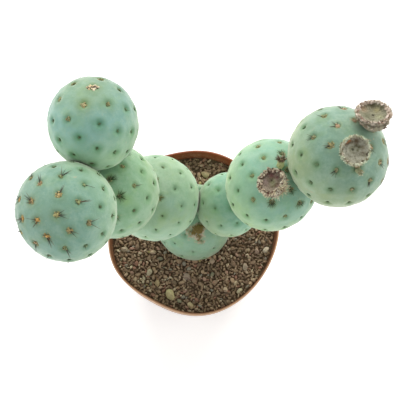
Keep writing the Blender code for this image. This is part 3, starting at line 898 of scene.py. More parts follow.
def lumps(points, size, seed):
    """Slow waves over a surface, between -1 and 1."""
    rng = random.Random(seed)
    total = np.zeros(len(points))
    for _ in range(5):
        way = any_way(rng)
        way *= FULL_TURN / (size * np.linalg.norm(way)) * rng.uniform(0.7, 1.4)
        total += np.sin(points @ way + any_turn(rng))
    return total / 5


def refine(piece, distance_of, limit):
    """Halve the edges of the faces whose middle lies within a limit of what they are near."""
    choose(piece)
    bpy.ops.object.mode_set(mode="EDIT")
    bpy.ops.mesh.select_mode(type="FACE")
    bpy.ops.mesh.select_all(action="DESELECT")
    bpy.ops.object.mode_set(mode="OBJECT")
    middles = np.empty(len(piece.data.polygons) * 3)
    piece.data.polygons.foreach_get("center", middles)
    piece.data.polygons.foreach_set("select", distance_of(middles.reshape(-1, 3)) < limit)
    bpy.ops.object.mode_set(mode="EDIT")
    bpy.ops.mesh.subdivide(number_cuts=1)
    bpy.ops.object.mode_set(mode="OBJECT")


def edge_distance(ball, ways):
    """How far each direction is from the edge of a flat, measured along the skin."""
    nearest = np.full(len(ways), 1.0)
    for flat in ball.flats:
        if not flat.seat:
            nearest = np.minimum(nearest, np.abs(past_edge(ball, flat, ways)) * ball.radius)
    return nearest


def crevice(ball, ways):
    """Painted shade in the crevice beside a neighbour that the ball presses on: how deep each direction
    lies in it.
    """
    deepest = np.zeros(len(ways))
    for flat in ball.flats:
        if flat.pressed:
            away = np.maximum(past_edge(ball, flat, ways), 0) * ball.radius
            deepest = np.maximum(deepest, bell(away, CREVICE_WIDTH))
    return deepest


def nearest_areole(ball, areoles, ways):
    """Number of the areole nearest to each direction, and the distance to it along the skin."""
    middles = np.array([areole.way for areole in areoles])
    close = ways @ middles.T
    return close.argmax(1), np.arccos(np.clip(close.max(1), -1, 1)) * ball.radius


def ways_of(points):
    """Points as directions from the middle."""
    return points / np.linalg.norm(points, axis=1, keepdims=True)


def spot(ways, middle, spread):
    """A soft round spot on a ball."""
    middle = np.array(middle)
    return bell(np.arccos(np.clip(ways @ (middle / np.linalg.norm(middle)), -1, 1)), spread)


def sculpt(name, ways, distance, edge):
    """Distance from a ball's centre to its finished skin in each direction, and its painted shade on flats
    and in crevices.
    """
    ball = BALLS[name]
    calm = climb(edge, 0, CALM_WIDTH)
    reach = skin_reach(ball, ways)
    reach += LUMP_RISE * calm * lumps(ways * ball.radius, LUMP_SIZE, name)
    # Painted shade, darkest in the crevices beside pressed neighbours and on the flats
    pressed = crevice(ball, ways)
    for flat in ball.flats:
        facing = ways @ np.array(flat.normal)
        flat_reach = np.where(facing > 0.05, flat.distance / np.maximum(facing, 0.05), 1.0)
        if not flat.seat:
            pressed = np.maximum(pressed, climb(reach - flat_reach, 0, FLAT_SHADE_DEPTH))
        rounding = SEAT_MARGIN if flat.seat else PRESSED_ROUNDING if flat.pressed else NECK_ROUNDING
        reach = soft_least(reach, flat_reach, rounding)
    reach -= PIT_DEPTH * bell(distance, PIT_WIDTH)
    reach += CUSHION_RISE * calm * bell(distance - CUSHION_PLACE, CUSHION_WIDTH)
    return reach, pressed


def mark_areoles(piece, name, ways, which, distance):
    """Store how dark the skin is round each areole, and how fresh the wool there is."""
    ball = BALLS[name]
    areoles = AREOLES[name]
    depth = ball.mark * draws(random.Random(name + "_halo"), len(areoles), 0.6, 1.0)[which]
    warm = np.array([areole.bright for areole in areoles])[which]
    spread = ball.halo * (HALO_WIDTH + HALO_GROWTH * warm)
    ragged = distance * (1 + 0.16 * lumps(ways * ball.radius, RAG_SIZE, name + "_rag"))
    carry(piece, "halo", depth * (0.80 * bell(ragged, spread) + 0.20 * bell(ragged, WIDE_HALO)))
    carry(piece, "well", depth * bell(ragged, WELL_WIDTH))
    carry(piece, "warm", warm)


def skin_colours(name, ways):
    """Colour of a ball's skin in each direction: by its age, painted light and shade by the side it faces,
    and its blotches.
    """
    ball = BALLS[name]
    crown, middle, foot = (light_of(tone) for tone in SKIN_TONES[name])
    tipward = ways @ np.array(ball.axis) + 0.10 * lumps(ways * ball.radius, AGE_SIZE, name + "_age")
    at_crown = climb(tipward, 0.60, 0.38)[:, None]
    at_middle = climb(tipward, -0.35, 1.10)[:, None]
    at_middle = at_middle * at_middle * (3 - 2 * at_middle)
    colours = foot + (middle + (crown - middle) * at_crown - foot) * at_middle
    # Painted light on the lit side of the ball and painted shade on the other side
    colours = colours * (1 + LIT_SIDE_GAIN * (ways @ np.array(ball.lit_side)))[:, None]
    for blotched, way, spread, tint in BLOTCHES:
        if blotched == name:
            colours = colours * (1 + spot(ways, way, spread)[:, None] * (np.array(tint) - 1))
    return colours


def make_ball(name, finish):
    """A ball of the stem: an ico sphere, refined where it needs it and sculpted to its skin."""
    ball = BALLS[name]
    areoles = AREOLES[name]
    piece = add_ico_sphere(6, ball.radius)

    def areole_distance(points):
        return nearest_areole(ball, areoles, ways_of(points))[1]

    for limit in NEAR_AREOLE:
        refine(piece, areole_distance, limit)
    refine(piece, lambda points: edge_distance(ball, ways_of(points)), NEAR_EDGE)
    ways = ways_of(points_of(piece))
    which, distance = nearest_areole(ball, areoles, ways)
    edge = edge_distance(ball, ways)
    reach, pressed = sculpt(name, ways, distance, edge)
    move_points(piece, ways * reach[:, None] + np.array(ball.centre))
    mark_areoles(piece, name, ways, which, distance)
    cork = np.zeros(len(ways))
    if name == "base_segment":
        # Painted shade on the top of the base ball, in the notch behind its two neighbours
        pressed = np.maximum(pressed, spot(ways, BASE_SHADE_WAY, BASE_SHADE_SPREAD))
        cork = sum(weight * spot(ways, way, spread) for way, spread, weight in CORK_SPOTS)
    carry(piece, "skin", skin_colours(name, ways))
    carry(piece, "joint", bell(edge, JOINT_WIDTH))
    # Painted shade on the flats and in the crevices between balls
    carry(piece, "pressed", pressed)
    carry(piece, "cork", cork)
    settle(piece, name + "_skin")
    finish_piece(piece, finish, (name,))


def make_waxy_skin():
    """Grey-green skin, paler with age, with a soft darker halo round each areole and painted shade between
    the balls.
    """
    waxy = Finish("waxy_skin", "skin", Sheen_Weight=0.45, Sheen_Roughness=0.42,
                  Sheen_Tint=(1.0, 0.98, 0.88, 1.0), Specular_IOR_Level=0.32)
    cloud = waxy.noise(0.013)
    patch = waxy.noise(0.0045, 3.0, 0.6)
    blotch = waxy.noise(0.0070, 2.0, 0.5)
    fine = waxy.noise(0.0016, 4.0, 0.65)
    grain = waxy.noise(0.00045, 2.0, 0.6)
    warm = waxy.attribute("warm")
    waxy.tint(waxy.ease(cloud, 0.35, 0.65, 0.0, 0.66), (0.85, 0.97, 1.05))
    waxy.tint(waxy.ease(patch, 0.40, 0.60, 0.0, 0.52), (0.82, 0.90, 0.84))
    waxy.tint(waxy.ease(blotch, 0.52, 0.70, 0.0, 0.55), (1.06, 1.03, 0.84))
    waxy.tint(waxy.ease(fine, 0.46, 0.66, 0.0, 0.40), (0.82, 0.88, 0.82))
    waxy.coat(waxy.ease(fine * 0.45 + cloud * 0.55, 0.42, 0.66) * 0.28, (186, 206, 184))
    halo = waxy.attribute("halo") * waxy.ease(fine, 0.25, 0.75, 0.78, 1.10)
    waxy.tint(halo, waxy.mix(warm, (0.46, 0.66, 0.42, 1.0), (0.84, 0.76, 0.50, 1.0)))
    well = waxy.ease(waxy.attribute("well"), 0.15, 0.95) * waxy.ease(warm, 0.0, 0.5, 0.45, 0.7)
    waxy.coat(well, waxy.between(warm, (78, 114, 76), (146, 136, 84)))
    worn = waxy.ease(waxy.attribute("joint") * 0.8 + (fine - 0.5) * 0.7, 0.50, 0.95)
    waxy.coat(worn * 0.55, (116, 112, 78))
    # Painted shade: dark green on the flats and in the crevices between balls
    waxy.coat(waxy.attribute("pressed") * 0.85, (40, 88, 44))
    cork = waxy.attribute("cork") + (waxy.noise(0.0030, 4.0, 0.75) - 0.5) * 1.6
    rind = waxy.ease(cork, 0.30, 0.62) * waxy.ease(fine, 0.34, 0.60, 0.25, 0.90)
    waxy.coat(rind, waxy.between(waxy.ease(patch, 0.4, 0.6), (204, 176, 154), (160, 148, 112)))
    bark = waxy.ease(cork, 0.62, 0.86)
    waxy.coat(bark, waxy.between(fine, (94, 80, 36), (140, 120, 64)))
    scar = waxy.ease(waxy.noise(0.0052, 2.0, 0.5, warp=0.8), 0.70, 0.76) * waxy.ease(fine, 0.45, 0.60)
    waxy.coat(scar * 0.55, (176, 162, 132))
    waxy.coat(waxy.ease(waxy.cells(0.0011), 0.05, 0.22, 0.16, 0.0), (205, 218, 190))
    relief = grain * 0.4 + fine * 0.6 + bark * fine * 4.0
    waxy.complete(0.52 + grain * 0.12 + bark * 0.25, relief, 0.00020)
    return waxy


def make_wool():
    """Short felted wool, in the tone that each areole carries."""
    wool = Finish("areole_wool", "tone", Sheen_Weight=0.3, Sheen_Roughness=0.6, Specular_IOR_Level=0.1,
                  Roughness=0.95)
    clump = wool.noise(0.0005, 3.0, 0.7)
    wool.tint(wool.ease(clump, 0.38, 0.56, 0.50, 0.0), (0.40, 0.40, 0.34))
    wool.tint(wool.ease(wool.attribute("share"), 0.15, 0.6, 0.45, 0.0), (0.50, 0.56, 0.44))
    wool.complete(height=clump, depth=0.0004)
    return wool


def make_horn():
    """Spines and glochids: the tone that each carries, streaked."""
    horn = Finish("spine_horn", "tone", Specular_IOR_Level=0.4)
    streak = horn.noise(0.0008, 2.0)
    horn.coat(horn.ease(horn.attribute("share"), 0.55, 1.0, 0.0, 0.25), (140, 116, 86))
    horn.coat(streak * 0.3, (40, 32, 26))
    horn.complete(0.40 + streak * 0.3)
    return horn


def make_hair():
    """Pale bristles: the tone that each carries, a little darker at its foot."""
    hair = Finish("dry_hair", "tone", Specular_IOR_Level=0.2, Roughness=0.8)
    hair.tint(hair.ease(hair.attribute("share"), 0.0, 0.4, 0.5, 0.0), (0.62, 0.58, 0.50))
    hair.complete()
    return hair


def pick(rng, tones):
    """The light of one of several tones, a little more or less."""
    tone = rng.choice(tones)
    change = rng.uniform(0.85, 1.15)
    return [part * change for part in shade(*tone)[:3]]


def axes_along(way, width, length, roll=0.0):
    """Rows of a shape's three axes: two across, one along a direction."""
    across, up = frame_about(way)
    first = across * math.cos(roll) + up * math.sin(roll)
    second = way.cross(first)
    return [first * width, second * width, way * length]


# Tones of the wool and the spines
OLD_WOOL = ((110, 150, 102), (96, 136, 92), (122, 152, 106), (106, 130, 84), (84, 104, 68))
LOOSE_WOOL = ((154, 160, 112), (142, 152, 104), (166, 154, 104), (136, 144, 96))
DARK_WOOL = ((62, 84, 54), (78, 92, 58))
BRIGHT_WOOL = {
    "base_segment": ((124, 110, 84),),
    "left_segment_1": ((138, 160, 96), (128, 148, 88)),
    "left_segment_2": ((160, 158, 98), (148, 150, 88), (192, 166, 118)),
    "left_segment_3": ((236, 186, 104), (200, 176, 120), (206, 164, 122), (186, 176, 118)),
    "left_segment_4": ((174, 170, 112), (152, 156, 94), (202, 190, 142)),
    "right_segment_1": ((126, 98, 74), (110, 88, 66)),
    "right_segment_2": ((170, 172, 118), (150, 160, 104)),
    "right_segment_3": ((204, 182, 138), (176, 168, 116), (214, 178, 146)),
}
CROWN_WOOL = ((236, 226, 196), (214, 192, 150), (226, 206, 164))
CROWN_DARK = ((96, 66, 42), (72, 56, 40))
SPINE_TONES = ((74, 76, 62), (92, 84, 66), (62, 60, 52))
DARK_TUFT = ((44, 64, 44), (56, 74, 50), (78, 96, 62))
PALE_TUFT = ((96, 120, 72), (112, 132, 80), (84, 104, 64))
GOLDEN_TUFT = ((134, 126, 68), (108, 110, 60), (150, 144, 86))
TUFT_TONES = {"left_segment_1": GOLDEN_TUFT, "right_segment_3": PALE_TUFT}
OLD_GLOCHIDS = ((86, 124, 80), (102, 134, 90), (72, 98, 62))
GLOCHID_TONES = ((176, 148, 92), (150, 128, 78), (112, 100, 60))


def blend(first, second, share):
    """Light between two lights."""
    return [a + (b - a) * share for a, b in zip(first, second)]


def lay_pad(areole, ball, tone, size, off, rng, depth=0.40):
    """Place of one tuft of wool, at an offset along the skin from the middle of its areole."""
    reach = skin(ball, areole.way) - depth * PAD_SINK
    across, up = frame_about(areole.way)
    point = ball.centre + areole.way * reach + across * off[0] + up * off[1]
    up_way = (areole.way + Vector(any_way(rng, 0.22))).normalized()
    height = WOOL_HEIGHT * min(0.45 + 0.50 * size, 1.0)
    axes = axes_along(up_way, WOOL_WIDTH * size, height, rng.uniform(*ROLL))
    axes[0] = axes[0] * rng.uniform(0.9, 1.35)
    return rng.randrange(len(WOOL_SHAPES)), axes, point, tone


def crown_ring(areole, ball, rng):
    """Places of the white and dark tufts that ring the growing point of a ball."""
    places = []
    for k in range(CROWN_TUFTS):
        turn = FULL_TURN * k / CROWN_TUFTS
        far = rng.uniform(*CROWN_REACH)
        off = (1.25 * far * math.cos(turn), 0.70 * far * math.sin(turn))
        tones = CROWN_DARK if rng.random() < 0.30 else CROWN_WOOL
        places.append(lay_pad(areole, ball, pick(rng, tones), rng.uniform(0.35, 0.62), off, rng, 0.1))
    return places


def loose_tufts(areole, ball, middle, rng):
    """Places of the loose tufts of wool round the middle of an areole."""
    places = []
    tones = LOOSE_WOOL if areole.bright > 0.3 else OLD_WOOL
    for _ in range(4 + int(12 * areole.bright)):
        turn = any_turn(rng)
        share = math.sqrt(rng.uniform(0.15, 1.0))
        far = WOOL_REACH * areole.size * share
        tone = blend(middle, pick(rng, tones), min(1.0, share * rng.uniform(0.5, 1.2)))
        off = (far * math.cos(turn), far * math.sin(turn))
        size = min(areole.size, 1.1) * rng.uniform(0.24, 0.42)
        places.append(lay_pad(areole, ball, tone, size, off, rng, 0.50 - 0.20 * share))
    return places


def make_pads(name, finish):
    """The wool of a ball: a felted middle and loose tufts round it, brighter towards the tip."""
    ball = BALLS[name]
    rng = random.Random(name + "_pads")
    places = []
    for areole in AREOLES[name]:
        middle = blend(pick(rng, OLD_WOOL), pick(rng, BRIGHT_WOOL[name]), areole.bright)
        if areole.crown and name == "left_segment_4":
            places += crown_ring(areole, ball, rng)
            middle = pick(rng, CROWN_DARK)
        elif areole.tuft:
            middle = blend(middle, pick(rng, DARK_WOOL), 0.8 if ball.tuft > LONG_TUFT else 0.2)
        core = min(CORE_SHARE * areole.size, CORE_LIMIT)
        places.append(lay_pad(areole, ball, middle, core, (0.0, 0.0), rng))
        places += loose_tufts(areole, ball, middle, rng)
    lay_piece(name + "_wool", WOOL_SHAPES, places, finish, 180)


def make_wool_shapes():
    """Low ragged cushions, about one unit in radius, to copy as tufts of wool."""
    shapes = []
    for number in range(5):
        piece = add_ico_sphere(2, 1.0)
        points = points_of(piece)
        rough = draws(random.Random(number), len(points), -0.20, 0.20)
        points *= (1 + 0.20 * lumps(points, 0.9, number) + rough)[:, None]
        points[:, 2] *= np.where(points[:, 2] > 0, 0.9, 0.5)
        move_points(piece, points)
        apply_modifier(piece, "DECIMATE", ratio=WOOL_FACES)
        shapes.append(take_shape(piece))
    return shapes


def low_lines(ball, areole, count, length, spread, rng, rise=-0.0004, off=0.0):
    """Thin spines that lean low over the skin, away from the tip or, with more spread, all round."""
    way = areole.way
    reach = skin(ball, way)
    away = way * ball.axis.dot(way) - ball.axis
    lines = []
    for _ in range(count):
        lean = away.normalized() + spread * Vector(any_way(rng))
        lean = (lean - way * lean.dot(way)).normalized()
        foot = way * (reach + rise) + lean * (off + rng.uniform(*LOW_FOOT))
        tip = foot + (lean + way * rng.uniform(0.1, 0.7)).normalized() * length * rng.uniform(0.75, 1.25)
        if is_clear(ball.centre + tip, ball) and is_inside_box(ball.centre + tip):
            lines.append((foot, tip))
    return lines


def lay_needle(line, ball, width, tone, rng):
    """Place of one spine, from its foot to its tip."""
    way = (line[1] - line[0]).normalized()
    start = ball.centre + line[0] - way * NEEDLE_SINK
    length = (line[1] - line[0]).length + NEEDLE_EXTRA
    return 0, axes_along(way, width, length, rng.uniform(*ROLL)), start, tone


def make_spines(name, finish):
    """The spines of a ball, and the short glochids of each areole."""
    ball = BALLS[name]
    rng = random.Random(name + "_spines")
    places = []
    for areole in AREOLES[name]:
        for line in areole.spines:
            width = min(SPINE_WIDTH + SPINE_WIDENING * (line[1] - line[0]).length, FAN_WIDTH)
            places.append(lay_needle(line, ball, width, pick(rng, SPINE_TONES), rng))
        if areole.tuft:
            for line in low_lines(ball, areole, TUFT_SPINES, ball.tuft, 1.6, rng):
                tone = pick(rng, TUFT_TONES.get(name, DARK_TUFT))
                places.append(lay_needle(line, ball, TUFT_WIDTH, tone, rng))
        elif areole.bright > 0.12:
            count = rng.randint(int(0.6 * ball.fan * areole.bright), ball.fan)
            length = 1.1 * ball.spine
            for line in low_lines(ball, areole, count, length, 0.38, rng, -0.0001, 0.0006):
                places.append(lay_needle(line, ball, FAN_WIDTH, pick(rng, SPINE_TONES), rng))
        places += glochid_places(areole, ball, rng)
    lay_piece(name + "_spines", NEEDLE_SHAPES, places, finish, 60)


def glochid_places(areole, ball, rng):
    """Places of the short hairs that stand all over an areole's wool."""
    places = []
    reach = skin(ball, areole.way) - 0.3 * PAD_SINK
    for _ in range(int(6 + 9 * areole.size)):
        turn = any_turn(rng)
        off = WOOL_REACH * areole.size * math.sqrt(rng.random())
        foot = swing(areole.way, off / reach, turn) * reach
        outward = swing(areole.way, rng.uniform(0.1, 1.0), turn + rng.uniform(-0.5, 0.5))
        lean = (outward + 0.35 * ball.axis).normalized()
        length = rng.uniform(*GLOCHID_LENGTH) * min(0.6 + 0.4 * areole.size, 1.1)
        tone = blend(pick(rng, OLD_GLOCHIDS), pick(rng, GLOCHID_TONES), areole.bright)
        if is_inside_box(ball.centre + foot + lean * length):
            places.append((1, axes_along(lean, GLOCHID_WIDTH, length), ball.centre + foot, tone))
    return places


def rim_change(turn, height):
    """How far the waves of the rim carry the pot's wall outwards at a turn and a height."""
    share = np.clip(height / POT_HEIGHT, 0, 1) ** 2
    return share * sum(rise * np.cos(lobes * (turn - start)) for lobes, rise, start in RIM_WAVES)


def squeeze(points):
    """Press the pot's rim out of round, less and less towards its foot."""
    radius = reach_of(points)
    moved_out = radius + rim_change(turn_of(points), points[:, 2])
    moved = points.copy()
    moved[:, :2] *= np.where(radius > 0.02, moved_out / np.maximum(radius, 1e-6), 1.0)[:, None]
    return moved


def pot_section():
    """The pot's section from the middle of its underside, up the outside and down the inside."""
    step_foot = POT_HEIGHT - BAND_DEPTH
    band_foot = RIM_RADIUS - BAND_TAPER
    wall_top = band_foot - BAND_STEP
    section = [
        (FOOT_DISC_RADIUS, 0.0),
        (FOOT_DISC_RADIUS + FOOT_SLOPE, DRAIN_RISE),
        (FOOT_RING_INNER - FOOT_SLOPE, DRAIN_RISE),
        (FOOT_RING_INNER, 0.0),
        (BASE_RADIUS - RIM_EDGE, 0.0),
        (BASE_RADIUS, RIM_EDGE),
    ]
    for i in range(1, 12):
        share = i / 12
        section.append((
            BASE_RADIUS + share * (wall_top - BASE_RADIUS),
            RIM_EDGE + share * (step_foot - RIM_EDGE)))
    section += [
        (wall_top, step_foot),
        (band_foot, step_foot + RIM_EDGE),
        (band_foot + 0.5 * BAND_TAPER, (step_foot + POT_HEIGHT) / 2),
        (RIM_RADIUS, POT_HEIGHT - RIM_EDGE),
        (RIM_RADIUS - RIM_EDGE, POT_HEIGHT),
        (RIM_RADIUS - RIM_LIP + RIM_EDGE / 2, POT_HEIGHT),
        (RIM_RADIUS - RIM_LIP, POT_HEIGHT - RIM_EDGE),
        (RIM_RADIUS - RIM_LIP - BAND_TAPER, step_foot + STEP_RISE),
        (RIM_RADIUS - RIM_LIP - BAND_TAPER - BAND_STEP, step_foot),
        (FLOOR_RADIUS, FLOOR_LEVEL),
    ]
    return section


def drill_drains(pot):
    """Cut the drain holes through the pot's floor with one piece of joined cylinders."""
    start_clean()
    cutters = []
    for i in range(DRAIN_HOLES):
        turn = FULL_TURN * (i + 0.5) / DRAIN_HOLES
        place = (DRAIN_CIRCLE * math.cos(turn), DRAIN_CIRCLE * math.sin(turn), FLOOR_LEVEL)
        bpy.ops.mesh.primitive_cylinder_add(
            vertices=32, radius=DRAIN_RADIUS, depth=4 * FLOOR_LEVEL, location=place)
        cutters.append(bpy.context.object)
    start_clean()
    for cutter in cutters:
        cutter.select_set(True)
    bpy.context.view_layer.objects.active = cutters[0]
    bpy.ops.object.join()
    apply_modifier(pot, "BOOLEAN", object=cutters[0], operation="DIFFERENCE", solver="EXACT")
    bpy.data.objects.remove(cutters[0], do_unlink=True)


def make_pot(finish):
    """The pot: drawn out from its foot, drilled, its edges rounded, and pressed out of round."""
    pot = draw_out("pot_shell", POT_SIDES, pot_section())
    drill_drains(pot)
    apply_modifier(pot, "BEVEL", width=POT_BEVEL, segments=3, limit_method="ANGLE",
                   angle_limit=math.radians(24), use_clamp_overlap=True)
    points = points_of(pot)
    outside = climb(reach_of(points), RIM_RADIUS - BAND_MARGIN, BAND_BLUR)
    carry(pot, "band", outside * (points[:, 2] > POT_HEIGHT - BAND_DEPTH))
    points = squeeze(points)
    points[:, :2] *= POT_INSET
    move_points(pot, points)
    finish_piece(pot, finish, ("pot",), crease=35)


def make_pot_plastic():
    """Thin terracotta-brown plastic: a pale band on the front of the rim, partly scuffing and partly a
    painted highlight, dusty at the foot, with dried water marks.
    """
    plastic = Finish("pot_plastic_moulded", Specular_IOR_Level=0.5)
    height = plastic.axis("Z")
    front = plastic.ease(plastic.axis("Y"), 0.036, 0.010)
    cloud = plastic.noise(0.022, 4.0, 0.6)
    fine = plastic.noise(0.0012, 3.0, 0.6)
    drag = plastic.noise(0.004, 3.0, 0.6, place=plastic.stretched((1.0, 1.0, 0.08)))
    plastic.base = plastic.between(cloud, (126, 62, 32), (150, 79, 42))
    plastic.coat(plastic.ease(drag, 0.50, 0.75) * 0.25, (160, 104, 74))
    dust = plastic.ease(height, 0.030, 0.0, 0.0, 0.7) * plastic.ease(cloud, 0.35, 0.7)
    plastic.coat(dust, (150, 128, 104))
    level = height + cloud * 0.010
    lime = plastic.ease(level, 0.0745, 0.0795) * plastic.ease(level, 0.0850, 0.0805)
    plastic.coat(lime * plastic.ease(fine, 0.4, 0.7) * 0.45, (190, 168, 146))
    plastic.coat(front * plastic.ease(fine, 0.2, 0.6, 0.25, 0.6), (108, 84, 62))
    # Pale band on the front of the rim: partly scuffing, partly a painted highlight
    scuff_and_highlight = plastic.ease(drag + fine * 0.3, 0.30, 0.75, 0.55, 0.90)
    plastic.coat(front * plastic.attribute("band") * scuff_and_highlight, (196, 156, 118))
    rough = 0.34 + cloud * 0.16 + drag * 0.10 + dust * 0.3
    plastic.complete(rough, fine * 0.6 + drag * 0.8, 0.00006)
    return plastic


def bank_rise(reach):
    """Rise of the grit towards the pot's wall, at a distance from the middle."""
    return BANK_RISE * np.maximum(0, (reach - BANK_START) / BANK_WIDTH) ** 2


def swell(x, y):
    """Rise of the grit's surface towards the middle of the pot and, near its wall, towards the wall."""
    reach = math.hypot(x, y)
    return SOIL_SWELL * (1 - (reach / RIM_RADIUS) ** 2) + bank_rise(reach)


def make_grit_bed(finish):
    """The grit under its top stones: a closed body with a plain hole for the base ball."""
    base = BALLS["base_segment"]
    top = SOIL_LEVEL - BED_DROP
    floor = base.centre.z - BASE_FLAT_DEPTH - GAP
    levels = (floor, (floor + top) / 2, top)
    rings = [(math.sqrt(base.radius ** 2 - (base.centre.z - z) ** 2) + HOLE_CLEARANCE, z) for z in levels]
    mouth = rings[-1][0]
    step = RIM_RADIUS - RIM_LIP - BAND_TAPER
    wall = step - GAP
    rings += [(mouth + (wall - mouth) * i / BED_RINGS, top) for i in range(1, BED_RINGS)]
    rings += [
        (wall, top),
        (step - BAND_STEP - GAP, POT_HEIGHT - BAND_DEPTH - GAP),
        (FLOOR_RADIUS - GAP, FLOOR_LEVEL + 0.7 * GAP),
    ]
    piece = draw_out("grit_bed", BED_SIDES, rings)
    points = points_of(piece)
    radius = reach_of(points)
    shift = np.where(points[:, 2] > floor - GAP, climb(wall - radius, 0, wall - mouth), 0)
    on_top = np.abs(points[:, 2] - top) < GAP
    inside = on_top & (radius < wall - GAP) & (radius > mouth + GAP)
    points[:, 0] += shift * base.centre.x
    points[:, 1] += shift * base.centre.y
    points = squeeze(points)
    points[:, 2] += np.where(inside, BED_LUMP_RISE * lumps(points, BED_LUMP_SIZE, 3), 0)
    points[:, 2] += np.where(on_top, bank_rise(reach_of(points)), 0)
    move_points(piece, points)
    finish_piece(piece, finish, ("soil",), crease=30)


def make_stone_shapes():
    """Worn stones, then angular chips, about one unit in radius, to copy as grit and scales of husk."""
    shapes = []
    for number in range(STONE_COUNT + CHIP_COUNT):
        chip = number >= STONE_COUNT
        rng = random.Random(number * 7 + 1)
        piece = add_ico_sphere(1 if chip else 2, 1.0)
        points = points_of(piece)
        if chip:
            points *= draws(rng, len(points), 0.70, 1.25)[:, None]
            points *= np.array((rng.uniform(1.1, 1.4), rng.uniform(0.50, 0.85), rng.uniform(0.45, 0.70)))
        else:
            for _ in range(9):
                way = any_way(rng)
                way /= np.linalg.norm(way)
                over = np.maximum(points @ way - rng.uniform(0.55, 0.85), 0)
                points -= over[:, None] * way * rng.uniform(0.8, 1.0)
            points *= np.array((1.10, rng.uniform(0.64, 0.92), rng.uniform(0.60, 0.85)))
        move_points(piece, points)
        if not chip:
            apply_modifier(piece, "DECIMATE", ratio=STONE_FACES)
        shapes.append(take_shape(piece))
    return shapes


# Pebbles: place, size, rise and tone. Grit tones: tone and how common it is
PEBBLES = (
    (-0.0133, -0.0392, 0.0036, 0.0023, (222, 212, 160)),
    (-0.0425, -0.0100, 0.0026, 0.0018, (196, 180, 154)),
    (-0.0269, -0.0252, 0.0023, 0.0015, (202, 192, 164)),
    (-0.0012, -0.0458, 0.0023, 0.0014, (206, 186, 146)),
    (0.0288, -0.0365, 0.0020, 0.0015, (206, 196, 162)),
    (0.0455, -0.0105, 0.0022, 0.0016, (212, 200, 178)),
    (0.0325, -0.0217, 0.0026, 0.0015, (176, 160, 140)),
    (0.0122, -0.0178, 0.0020, 0.0014, (188, 164, 142)),
    (0.0077, 0.0385, 0.0025, 0.0017, (180, 166, 126)),
    (-0.0033, -0.0276, 0.0027, 0.0014, (158, 138, 124)),
    (-0.0302, -0.0286, 0.0014, 0.001, (192, 180, 152)),
    (-0.0217, -0.0318, 0.0019, 0.0012, (184, 164, 124)),
    (0.0401, -0.0116, 0.0019, 0.0012, (176, 150, 134)),
    (0.0022, -0.0479, 0.0013, 0.0012, (204, 184, 154)),
)
GRIT_TONES = (
    ((150, 125, 100), 26), ((130, 107, 86), 26), ((171, 144, 117), 12),
    ((104, 85, 66), 16), ((190, 168, 141), 6), ((156, 112, 94), 7),
    ((174, 138, 120), 3), ((212, 196, 166), 4), ((172, 160, 108), 1),
    ((144, 138, 124), 3), ((126, 126, 104), 1),
)
TWIG_TONES = ((146, 114, 80), (116, 90, 64), (186, 160, 120))


def turned_axes(rng, size, tilt):
    """Rows of three axes for a stone, turned at random."""
    up = Vector((rng.gauss(0, tilt), rng.gauss(0, tilt), 1)).normalized()
    return axes_along(up, size, size, any_turn(rng))


class Ground:
    """The surface of the grit: where its stones lie, and the room that each one takes."""

    def __init__(self, rng):
        self.rng = rng
        self.cell = 2 * max(pebble[2] for pebble in PEBBLES)
        self.taken = {}
        self.tones = [tone for tone, weight in GRIT_TONES for _ in range(weight)]
        self.places = []

    def cell_at(self, x, y):
        """The square of the surface that a point lies in."""
        return int(x // self.cell), int(y // self.cell)

    def is_free(self, x, y, size, packing):
        """Whether a stone of a size finds room at a point."""
        column, row = self.cell_at(x, y)
        for i in (column - 1, column, column + 1):
            for j in (row - 1, row, row + 1):
                for other_x, other_y, other in self.taken.get((i, j), ()):
                    if math.hypot(x - other_x, y - other_y) < packing * (size + other):
                        return False
        return True

    def keep(self, x, y, size):
        """Note a stone's room."""
        self.taken.setdefault(self.cell_at(x, y), []).append((x, y, size))

    def throw(self, size, shapes, packing, lift=0.0):
        """Throw one stone at a random point, and keep it if it finds room."""
        rng = self.rng
        base = BALLS["base_segment"]
        reach = RIM_RADIUS * math.sqrt(rng.random())
        turn = any_turn(rng)
        x = reach * math.cos(turn)
        y = reach * math.sin(turn)
        own = size * rng.uniform(0.85, 1.2)
        level = SOIL_LEVEL + swell(x, y)
        wall = RIM_RADIUS - RIM_LIP - BAND_TAPER + rim_change(turn, level) - GAP
        near_ball = math.sqrt(base.radius ** 2 - (base.centre.z - level) ** 2)
        from_ball = math.hypot(x - base.centre.x, y - base.centre.y) - near_ball
        if reach + 0.75 * own > wall or from_ball < own * 0.35 or not self.is_free(x, y, own, packing):
            return
        self.keep(x, y, own)
        heaped = BALL_BANK * max(0.0, 1 - from_ball / BALL_BANK_WIDTH)
        height = level + heaped + rng.uniform(-0.55, 0.10) * own + lift
        axes = turned_axes(rng, own, 0.45)
        shape = rng.choice(shapes)
        # Painted shadow: stones near one place under the balls are darker
        grit_shadow = bell(math.hypot(x - GRIT_SHADOW_PLACE[0], y - GRIT_SHADOW_PLACE[1]), GRIT_SHADOW_RADIUS)
        tone = [part * (GRIT_LIGHTNESS - GRIT_SHADOW_DARKNESS * grit_shadow) for part in pick(rng, self.tones)]
        self.places.append((shape, axes, (x, y, height), tone))


def scatter_grit():
    """Pebbles first, then stones and chips of falling size, each where it finds room."""
    rng = random.Random(GRIT_SEED)
    ground = Ground(rng)
    stones = range(STONE_COUNT)
    chips = range(STONE_COUNT, STONE_COUNT + CHIP_COUNT)
    for x, y, size, rise, tone in PEBBLES:
        ground.keep(x, y, size)
        point = (x, y, SOIL_LEVEL + swell(x, y) + rise - 0.62 * size)
        ground.places.append((rng.choice(stones), turned_axes(rng, size * 1.08, 0.2), point, shade(*tone)))
    for sizes, shapes in ((STONE_SIZES, stones), (CHIP_SIZES, chips)):
        for size, tries in sizes:
            for _ in range(tries):
                ground.throw(size, shapes, GRIT_PACKING)
    ground.taken.clear()
    for _ in range(TOP_CHIPS):
        ground.throw(CHIP_SIZES[-1][0], chips, 1.0, TOP_CHIP_LIFT)
    return ground.places


